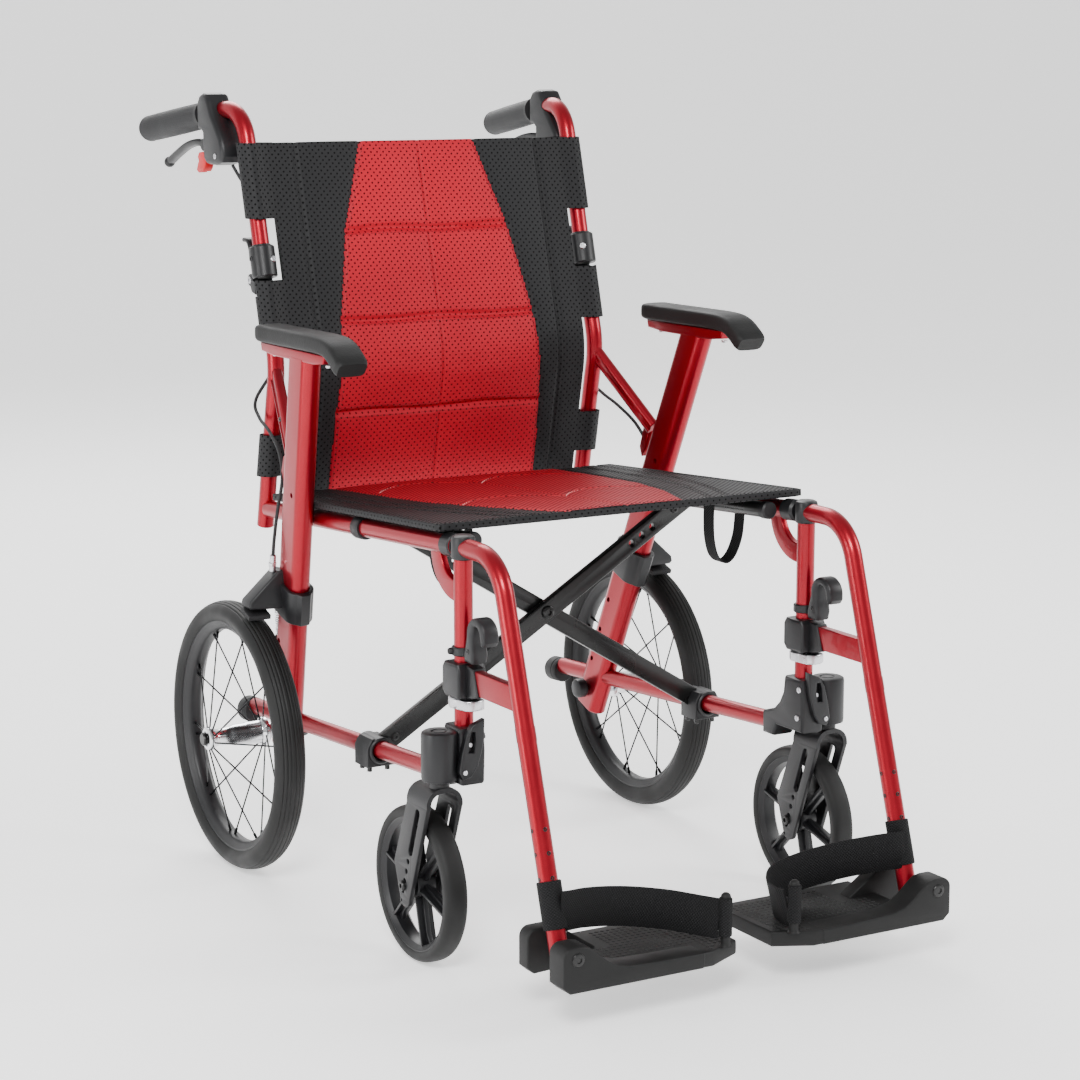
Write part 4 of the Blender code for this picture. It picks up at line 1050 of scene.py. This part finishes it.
def handle(side, label):
    body = f"cane_{label}"
    cane = sweep("cane", RED, cane_path(side), circle(TUBE_R, 40))
    dress(merge(f"cane_tube_{label}", [cane]), body, "red_paint", f"back_cane_{label}")
    start, end = at(side, 0.2494, 0.1815, 0.9639), at(side, 0.268, 0.343, 0.9408)
    along = (end - start).normalized()
    length = (end - start).length
    steps = 64
    profile = []
    for i in range(steps + 1):
        t = i / steps
        r = 0.0172 + 0.0006 * math.sin(math.pi * t)
        if t < 0.05:
            r += 0.0012 * (1 - t / 0.05)
        if t > 0.93:
            r = 0.0176 * math.sqrt(max(0.0, 1 - ((t - 0.93) / 0.07) ** 2) * 0.55 + 0.45)
        profile.append((r, t * length))
    u = along.orthogonal().normalized()
    v = along.cross(u)
    count = 48
    turns = [2 * math.pi * j / count for j in range(count + 1)]
    rings = [[start + along * h + (u * math.cos(a) + v * math.sin(a)) * r for a in turns[:-1]]
             for r, h in profile]
    grip = skin(rings, [0.016 * a for a in turns], [h for r, h in profile])
    dress(keep(grip, f"grip_sleeve_{label}", GRIP, 50), body, "rubber", f"grip_{label}")
    outline = [(0.098, 0.912), (0.104, 0.9045), (0.125, 0.9), (0.15, 0.901), (0.159, 0.908),
               (0.1605, 0.94), (0.165, 0.944), (0.1755, 0.9455), (0.1772, 0.96), (0.1765, 0.98),
               (0.17, 0.989), (0.159, 0.9925), (0.148, 0.9905), (0.14, 0.98), (0.132, 0.966),
               (0.118, 0.95), (0.104, 0.935), (0.0985, 0.923)]
    shell = side_plate("shell", PLASTIC, [outline], 0.034, side, 0.25, 0.006)
    tool = sweep("tool", PLASTIC, cane_path(side), circle(TUBE_R + 0.0006, 40))
    cut(shell, tool)
    screw = bolt("screw", ZINC, at(side, 0.2672, 0.118, 0.912), (side, 0, 0), 0.0036, 0.0014)
    inner_screw = bolt("screw", ZINC, at(side, 0.2328, 0.106, 0.908), (-side, 0, 0), 0.0036, 0.0014)
    dress(merge(f"lever_housing_shell_{label}", [shell, screw, inner_screw]), body, "black_plastic",
          f"lever_housing_{label}")
    line = smooth_path([at(side, 0.254, y, z) for y, z in ((0.166, 0.925), (0.182, 0.9265), (0.205, 0.927),
                                                           (0.235, 0.922), (0.268, 0.911), (0.296, 0.9))], 6)
    lever = sweep("lever", PLASTIC, line, stadium(0.0135, 0.0095, 8), up=Vector((1, 0, 0)), bevel=0.002)
    barrel = rod("barrel", PLASTIC, at(side, 0.246, 0.1705, 0.925), at(side, 0.262, 0.1705, 0.925), 0.008,
                 0.0012)
    bm = bmesh.new()
    bmesh.ops.create_uvsphere(bm, u_segments=24, v_segments=16, radius=0.0074)
    bmesh.ops.transform(bm, matrix=Matrix.Translation(at(side, 0.254, 0.3015, 0.8982)), verts=bm.verts)
    ball = keep(bm, "ball", PLASTIC)
    dress(merge(f"brake_lever_blade_{label}", [lever, barrel, ball]), f"brake_lever_{label}", "black_plastic",
          f"brake_lever_{label}")
    latch = [(0.1615, 0.915), (0.162, 0.902), (0.166, 0.8945), (0.171, 0.8905), (0.178, 0.8925),
             (0.185, 0.8885), (0.1905, 0.8915), (0.187, 0.899), (0.1835, 0.904), (0.1865, 0.909),
             (0.182, 0.915), (0.172, 0.916)]
    latch = side_plate("latch", LATCH_RED, [latch], 0.0135, side, 0.256, 0.0018)
    dress(merge(f"lock_latch_tab_{label}", [latch]), f"lock_latch_{label}", "red_plastic",
          f"lock_latch_{label}")


# Cross brace

def cross_arm(side, label):
    body = f"cross_arm_{label}"
    y = CROSS_Y + side * 0.0062
    low = Vector((side * FRAME_X, y + AXLE_Y, rail_z(CROSS_Y)))
    high = Vector((-side * SEAT_TUBE_X, y + AXLE_Y, SEAT_TUBE_Z))
    along = (high - low).normalized()
    normal = along.cross(Vector((0, 1, 0)))
    length = (high - low).length
    place = Matrix.Translation(low) @ Matrix((along, normal, along.cross(normal))).transposed().to_4x4()
    outline = [(0.012, -0.0125), (length, -0.0125), (length, 0.0125), (0.012, 0.0125)]
    holes = [[(spot + u, v) for u, v in circle(0.0042, 16)] for spot in
             (length - 0.06, length - 0.078, length - 0.096)]
    bar = plate("bar", STEEL, [outline, *holes], 0.0108, place, 0.0018)
    def on_rail(d):
        return [at(side, FRAME_X, CROSS_Y + n * d, rail_z(CROSS_Y)) for n in (-1, 1)]
    def on_tube(*ys):
        return [at(-side, SEAT_TUBE_X, d, SEAT_TUBE_Z + (CROSS_Y - d) * RAIL_SLOPE) for d in ys]
    sleeve = sweep("sleeve", PLASTIC, on_rail(0.0215), circle(0.0165, 40), bevel=0.0015)
    cut(sleeve, sweep("bore", PLASTIC, on_rail(0.04), circle(0.013, 40)))
    front, rear = -0.462, -0.035
    tube = sweep("tube", STEEL, on_tube(front + 0.01, rear), circle(0.0098, 32))
    ends = [sweep("end", PLASTIC, on_tube(*pair), circle(0.0108, 32), bevel=0.002)
            for pair in ((front, front + 0.014), (rear - 0.012, rear))]
    dress(merge(f"cross_arm_bar_{label}", [bar, sleeve, tube, *ends]), body, "black_steel",
          f"cross_arm_{label}")
    fasteners = [bolt("rivet", STEEL, low + along * spot + Vector((0, side * 0.0054, 0)), (0, side, 0),
                      0.0052, 0.0022) for spot in (0.026, length - 0.022)]
    if side < 0:
        centre = Vector((0, CROSS_Y + AXLE_Y, CROSS_Z))
        fasteners += [bolt("pivot", STEEL, centre + Vector((0, d, 0)), (0, d, 0), 0.0085, 0.004)
                      for d in (-0.0117, 0.0119)]
        fasteners.append(rod("washer", STEEL, centre - Vector((0, 0.0008, 0)), centre
                             + Vector((0, 0.0008, 0)), 0.012, 0.0003))
    dress(merge(f"cross_arm_bolts_{label}", fasteners), body, "black_steel")
    saddle = [(-0.0185, -0.02), (0.0185, -0.02), (0.0185, 0.004), (0.012, 0.015), (-0.012, 0.015),
              (-0.0185, 0.004)]
    matrix = basis((1, 0, 0), (0, 0, 1), at(side, FRAME_X, CROSS_Y, rail_z(CROSS_Y)))
    saddle = plate("saddle", PLASTIC, [saddle, circle(0.0132, 32)], 0.036, matrix, 0.0015)
    studs = [rod("stud", STEEL, at(side, FRAME_X + x, CROSS_Y + d, rail_z(CROSS_Y) - 0.019),
                 at(side, FRAME_X + x, CROSS_Y + d, rail_z(CROSS_Y) - 0.0265), 0.0034, 0.0006, 6)
             for x in (-0.012, 0.012) for d in (-0.01, 0.01)]
    dress(merge(f"cross_arm_saddle_{label}", [saddle, *studs]), body, "black_plastic")


# Upholstery

def spread(values, value):
    """Straight lines through (key, value) pairs."""
    for (a, u), (b, v) in zip(values, values[1:]):
        if value <= b:
            t = max(0.0, (value - a) / (b - a))
            return u + (v - u) * t
    return values[-1][1]


def dip(distance, width, depth):
    return -depth * math.exp(-(distance / width) ** 2)


BACK_HALF = ((0.49, 0.155), (0.583, 0.152), (0.703, 0.1425), (0.818, 0.12), (0.927, 0.085))
BACK_CHANNELS = (0.583, 0.703, 0.818)
BACK_WELT = 0.178
SEAT_HALF = ((-0.47, 0.078), (-0.353, 0.124), (-0.24, 0.153), (-0.1, 0.163), (0.0, 0.167))


def back_height(x, z):
    """How far the padded back stands out at a point: channels, seams and soft crowns."""
    half = spread(BACK_HALF, z)
    edge = abs(x) - half
    inside = 1 / (1 + math.exp(edge / 0.002))
    height = dip(edge, 0.0026, 0.0024) + dip(abs(x) - BACK_WELT, 0.0022, 0.0022)
    height += dip(abs(x) - BACK_WELT - 0.006, 0.0016, 0.0007)
    height += dip(x, 0.0022, 0.0018) * inside
    for level in BACK_CHANNELS:
        wobble = 0.0015 * math.sin(x * 38 + level * 20)
        height += dip(z - level - wobble, 0.0042, 0.0048) * inside
    levels = (0.473, *BACK_CHANNELS, 0.929)
    for low, high in zip(levels, levels[1:]):
        if low <= z <= high:
            across = math.sin(math.pi * (z - low) / (high - low))
            cell = math.sin(math.pi * min(1.0, abs(x) / max(half, 0.01)))
            height += 0.003 * inside * math.sqrt(max(0.0, across)) * math.sqrt(max(0.0, cell))
    if half < abs(x) < BACK_WELT:
        share = (abs(x) - half) / (BACK_WELT - half + 1e-6)
        height += 0.0014 * (1 - inside) * math.sin(math.pi * share) ** 0.5
    wrinkle = noise.noise(Vector((x * 26, z * 55, 1.7))) * 0.0007
    wrinkle += noise.noise(Vector((x * 90, z * 150, 4.1))) * 0.0002
    return max(height, -0.0046) + wrinkle * (0.4 + 0.6 * inside)


SCALLOPS = [(sx, row) for row in (-0.05, -0.265) for sx in (-1, 1)]


def scallop_y(x, centre, row):
    t = (x - centre) / 0.072
    return row - 0.052 * abs(t) ** 2.2


def seat_height(x, y):
    half = spread(SEAT_HALF, y)
    edge = abs(x) - half
    inside = 1 / (1 + math.exp(edge / 0.002))
    height = dip(edge, 0.0024, 0.0017)
    for seam in (0.03, 0.055):
        height += dip(abs(x) - half - seam - 0.008, 0.0018, 0.0013) * (1 - inside)
    height += dip(x, 0.002, 0.001) * inside
    for sign, row in SCALLOPS:
        centre = sign * 0.074
        if abs(x - centre) < 0.076:
            height += dip(y - scallop_y(x, centre, row), 0.0036, 0.0026) * inside
    height += 0.0016 * inside * (1 - (x / 0.18) ** 2)
    height += noise.noise(Vector((x * 22, y * 30, 2.2))) * 0.0006
    return height


def padded_grid(name, looks, us, vs, place, height, red, thickness, normal_at):
    """A closed padded panel on a grid, red where red(u, v) says so, with a UV map in metres."""
    bm = bmesh.new()
    uv = bm.loops.layers.uv.new("UVMap")
    def row(offset, lifted):
        grid = []
        for v in vs:
            line = []
            for u in us:
                lift = height(u, v) if lifted else 0.0
                line.append(bm.verts.new(place(u, v) + normal_at(v) * (offset + lift)))
            grid.append(line)
        return grid
    top, bottom = row(0.0, True), row(-thickness, False)
    def face(corners, spots, index):
        made = bm.faces.new(corners)
        made.material_index = index
        for loop, spot in zip(made.loops, spots):
            loop[uv].uv = spot
    for j in range(len(vs) - 1):
        for i in range(len(us) - 1):
            spots = ((us[i], vs[j]), (us[i + 1], vs[j]), (us[i + 1], vs[j + 1]), (us[i], vs[j + 1]))
            centre_u, centre_v = (us[i] + us[i + 1]) / 2, (vs[j] + vs[j + 1]) / 2
            face((top[j][i], top[j][i + 1], top[j + 1][i + 1], top[j + 1][i]), spots, 1
                 if red(centre_u, centre_v) else 0)
            face((bottom[j][i], bottom[j + 1][i], bottom[j + 1][i + 1], bottom[j][i + 1]),
                 (spots[0], spots[3], spots[2], spots[1]), 0)
    def wall(a, b, spots_a):
        for k in range(len(a) - 1):
            face((a[k], b[k], b[k + 1], a[k + 1]), ((spots_a[k], 0), (spots_a[k], 0.008),
                                                    (spots_a[k + 1], 0.008), (spots_a[k + 1], 0)), 0)
    wall(top[0], bottom[0], us)
    wall(list(reversed(top[-1])), list(reversed(bottom[-1])), us)
    wall([line[-1] for line in top], [line[-1] for line in bottom], vs)
    wall([line[0] for line in reversed(top)], [line[0] for line in reversed(bottom)], vs)
    bmesh.ops.recalc_face_normals(bm, faces=bm.faces)
    return keep(bm, name, looks, 60)


def steps_between(low, high, pitch):
    count = max(2, round((high - low) / pitch))
    return [low + (high - low) * i / count for i in range(count + 1)]


def stitches(look, points, normal, length=0.0034, gap=0.0022, lift=0.0004, width=0.00042):
    """Thread stitches laid end to end along a line of points."""
    bm = bmesh.new()
    travelled = 0.0
    distance = [0.0]
    for a, b in zip(points, points[1:]):
        distance.append(distance[-1] + (b - a).length)
    def spot(d):
        for i in range(len(points) - 1):
            if distance[i + 1] >= d:
                span = distance[i + 1] - distance[i]
                return points[i].lerp(points[i + 1], (d - distance[i]) / span if span else 0)
        return points[-1]
    while travelled + length < distance[-1]:
        a, b = spot(travelled), spot(travelled + length)
        along = (b - a).normalized()
        across = along.cross(normal).normalized() * width
        up = normal * (0.00045 + lift)
        middle_point = (a + b) / 2
        corners = [bm.verts.new(p) for p in (a + normal * 0.0001, middle_point - across + up * 0.8, b
                                             + normal * 0.0001, middle_point + across + up * 0.8, middle_point
                                             + up * 1.15, middle_point - normal * 0.0003)]
        for tri in ((0, 1, 4), (1, 2, 4), (2, 3, 4), (3, 0, 4), (1, 0, 5), (2, 1, 5), (3, 2, 5), (0, 3, 5)):
            bm.faces.new([corners[t] for t in tri])
        travelled += length + gap
    bmesh.ops.recalc_face_normals(bm, faces=bm.faces)
    return keep(bm, "thread", look, 80)


def back_normal(z):
    slope = -POST_LEAN if z < BEND_Z else CANE_LEAN
    if BEND_Z - 0.03 < z < BEND_Z + 0.03:
        slope = -POST_LEAN + (z - 0.62) / 0.06 * (POST_LEAN + CANE_LEAN)
    return Vector((0, -1, slope)).normalized()


def back_place(x, z):
    blend_y = post_y(z)
    if BEND_Z - 0.03 < z < BEND_Z + 0.03:
        t = (z - 0.62) / 0.06
        blend_y = post_y(0.62) + 0.06 * (-POST_LEAN * t + (POST_LEAN + CANE_LEAN) * t * t / 2)
    return Vector((x, blend_y - 0.0105 + AXLE_Y, z))


def seat_place(x, y):
    return Vector((x, y + AXLE_Y, 0.5165 - 0.0633 * (y + 0.46)))


SEAT_NORMAL = Vector((0, 0.0633, 1)).normalized()
# The posts close to this share of their distance when the chair folds, and the panel fills what is left
BACK_EDGE = 0.2165


STITCH_NORMAL = Vector((0, -1, 0.1)).normalized()


def back_sling():
    half = BACK_EDGE
    for name, low, high, body, node in (("back_panel_upper", 0.7583, 0.93, "cane_right", "back_upper"),
                                        ("back_panel_lower", 0.473, 0.7583, "frame_right", "back_lower")):
        us, vs = steps_between(-half, half, 0.002), steps_between(low, high, 0.0018)
        panel = padded_grid(name, [BLACK_VINYL, RED_VINYL], us, vs, back_place, back_height,
                            lambda x, z: abs(x) < spread(BACK_HALF, z), 0.0072, back_normal)
        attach(panel, body)
        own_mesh(panel)
        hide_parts(node)
        zs = steps_between(low + 0.002, high - 0.002, 0.004)
        lines = []
        for sign in (-1, 1):
            lines.append([(sign * (spread(BACK_HALF, z) - 0.0042), z) for z in zs])
            lines.append([(sign * (BACK_WELT + 0.0034), z) for z in zs])
        threads = [stitches(THREAD_DARK, [back_place(x, z) + back_normal(z) * back_height(x, z)
                                          for x, z in line], STITCH_NORMAL) for line in lines]
        for level in BACK_CHANNELS:
            if low < level < high:
                edge, z = spread(BACK_HALF, level) - 0.006, level - 0.0065
                points = [back_place(x, z) + back_normal(level) * back_height(x, z)
                          for x in steps_between(-edge, edge, 0.004)]
                threads.append(stitches(THREAD_DARK, points, STITCH_NORMAL))
        thread = merge(f"{name}_stitching", threads)
        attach(thread, body)
        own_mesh(thread)
        for side_label, side in SIDES:
            if node == "back_upper":
                bands = ((0.835, 0.93, 90),)
            else:
                bands = ((0.69, 0.7365, 90), (0.7365, 0.758, -8), (0.505, 0.56, 90))
            wraps = [sleeve(side, bottom, top, half, turn) for bottom, top, turn in bands]
            holder = ("cane_" if node == "back_upper" else "frame_") + side_label
            made = merge(f"strap_{name}_{side_label}", wraps)
            dress(made, holder, "upholstery")


def sleeve(side, bottom, top, half, turn):
    """The fabric wrapped round a cane and sewn to itself behind the panel, or its front alone."""
    radius, thin = 0.016, 0.0016
    edge = half - FRAME_X
    outer = [(edge, -0.0106), (-0.015, -0.0113), (-0.009, -0.0122)] + arc((0, 0), radius, -100, turn, 26)
    inner = arc((0, 0), radius - thin, turn, -100, 26) + [(-0.009, -0.0122 + thin), (edge, -0.0106 + thin)]
    if turn > 0:
        outer += [(-0.014, 0.015), (-0.034, 0.002)]
        inner = [(-0.034, 0.0002), (-0.014, 0.0134)] + inner
    ring = outer + inner
    levels = steps_between(bottom, top, 0.004)
    rows = []
    for z in levels:
        centre_y = back_place(0, z).y + 0.0105
        rows.append([Vector((side * (FRAME_X + x), centre_y + y
                             + 0.0002 * noise.noise(Vector((x * 80, z * 60, side))), z)) for x, y in ring])
    return keep(skin(rows, [side * (half + a) for a in girth(ring)], levels), "sleeve", [BLACK_VINYL], 50)


def seat():
    half, front, rear = 0.2515, -0.462, -0.0125
    us, vs = steps_between(-half, half, 0.0021), steps_between(front, rear, 0.0021)
    panel = padded_grid("seat_cover", [SEAT_BLACK, SEAT_RED], us, vs, seat_place, seat_height,
                        lambda x, y: abs(x) < spread(SEAT_HALF, y), 0.008, lambda v: SEAT_NORMAL)
    def sew(look, line, *sizes):
        points = [seat_place(x, y) + SEAT_NORMAL * seat_height(x, y) for x, y in line]
        return stitches(look, points, SEAT_NORMAL, *sizes)
    threads = []
    for sign, row in SCALLOPS:
        centre = sign * 0.074
        line = [(x, scallop_y(x, centre, row)) for x in steps_between(centre - 0.07, centre + 0.07, 0.003)]
        line = [(x, y) for x, y in line if abs(x) < spread(SEAT_HALF, y) - 0.004]
        threads.append(sew(THREAD_RED, line, 0.0052, 0.003, 0.0012, 0.0008))
    ys = steps_between(front + 0.004, rear - 0.004, 0.004)
    for sign in (-1, 1):
        for inset in (0.004, 0.0345, 0.0415, 0.06, 0.067):
            line = [(sign * (spread(SEAT_HALF, y) + inset), y) for y in ys]
            threads.append(sew(THREAD_DARK, [(x, y) for x, y in line if abs(x) < half - 0.006]))
        threads.append(sew(THREAD_DARK, [(sign * (half - 0.0065), y) for y in ys]))
    threads.append(sew(THREAD_DARK,
                       [(x, front + 0.0065) for x in steps_between(-half + 0.004, half - 0.004, 0.004)]))
    thread = merge("seat_cover_stitching", threads)
    corners = [seat_place(-half, rear), seat_place(-half, front), seat_place(half, front),
               seat_place(half, rear)]
    path = rounded([c - SEAT_NORMAL * 0.004 for c in corners], 0.01, 8)
    piping = sweep("seat_cover_binding", BLACK_VINYL, path, stadium(0.0092, 0.0046, 8), up=SEAT_NORMAL,
                   angle=60)
    for piece in (panel, thread, piping):
        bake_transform(piece)
    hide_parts("seat_sling")


def pull_strap(side, label):
    """Webbing loop hanging from a seat tube, used to fold the chair."""
    y = -0.395 if side > 0 else -0.362
    x = 0.196
    z = SEAT_TUBE_Z + (CROSS_Y - y) * RAIL_SLOPE
    loop = [(x + 0.01, y, z + 0.004), (x + 0.0105, y, z - 0.012), (x + 0.008, y + 0.001, z - 0.038),
            (x - 0.001, y + 0.002, z - 0.06), (x - 0.014, y + 0.002, z - 0.068),
            (x - 0.027, y + 0.001, z - 0.058), (x - 0.034, y, z - 0.036), (x - 0.036, y - 0.001, z - 0.01),
            (x - 0.035, y - 0.001, z + 0.017)]
    path = smooth_path([at(side, *p) for p in loop], 10)
    band = sweep(f"pull_strap_{label}", WEBBING, path, [(-0.01, -0.0008), (0.01, -0.0008), (0.01, 0.0008),
                                                        (-0.01, 0.0008)], up=Vector((0, 1, 0)), angle=50)
    other = "left" if label == "right" else "right"
    dress(band, f"cross_arm_{other}", "webbing")


for label, side in SIDES:
    for piece in (rails, strut, back_post, back_hinge, arm_pad, rear_wheel, caster, caster_housing, hanger,
                  footplate, heel_strap, brake, handle, cross_arm, pull_strap):
        piece(side, label)
back_sling()
seat()


# Stage, light and camera

def stage():
    """A white sweep that runs back and up behind the chair, in a pale room."""
    bm = bmesh.new()
    line = [(-14, 0), (5.0, 0)] + [(5.0 + y, 3.0 + z) for y, z in arc((0, 0), 3.0, -90, 0, 16)] + [(8.0, 14)]
    rows = [[bm.verts.new((x, y, z - 0.0005)) for y, z in line] for x in (-16, 16)]
    for i in range(len(line) - 1):
        bm.faces.new((rows[0][i], rows[1][i], rows[1][i + 1], rows[0][i + 1]))
    look, _, shader = nodes_of("pale_floor", (0.95, 0.95, 0.95), 0.9)
    shader.inputs["Emission Color"].default_value = (1, 1, 1, 1)
    shader.inputs["Emission Strength"].default_value = 0.7
    keep(bm, "floor", look)
    world = bpy.data.worlds.new("studio")
    bpy.context.scene.world = world
    world.use_nodes = True
    background = world.node_tree.nodes["Background"]
    background.inputs["Color"].default_value = (1, 1, 1, 1)
    background.inputs["Strength"].default_value = 0.55
    target = Vector((0, 0, 0.45))
    for name, spot, size, power in (("key", (-2.2, -3.0, 3.2), 1.4, 165), ("fill", (3.2, -2.0, 2.2), 1.8, 90),
                                    ("back", (0.8, 3.0, 3.0), 2.4, 120), ("low", (-2.6, -0.2, 0.8), 1.2, 30)):
        light = bpy.data.lights.new(name, "AREA")
        light.shape = "DISK"
        light.size = size
        light.energy = power
        lamp = bpy.data.objects.new(name, light)
        lamp.location = spot
        lamp.rotation_euler = (target - Vector(spot)).to_track_quat("-Z", "Y").to_euler()
        bpy.context.scene.collection.objects.link(lamp)


def camera():
    lens = bpy.data.cameras.new("camera")
    lens.lens = 90.66
    lens.sensor_width = 36
    made = bpy.data.objects.new("camera", lens)
    bpy.context.scene.collection.objects.link(made)
    made.location = (-1.6826, -2.947, 1.053)
    heading, tilt = math.radians(-30.15), math.radians(10.31)
    view = Vector((-math.sin(heading) * math.cos(tilt), math.cos(heading) * math.cos(tilt), -math.sin(tilt)))
    made.rotation_euler = view.to_track_quat("-Z", "Y").to_euler()
    bpy.context.scene.camera = made


stage()
camera()
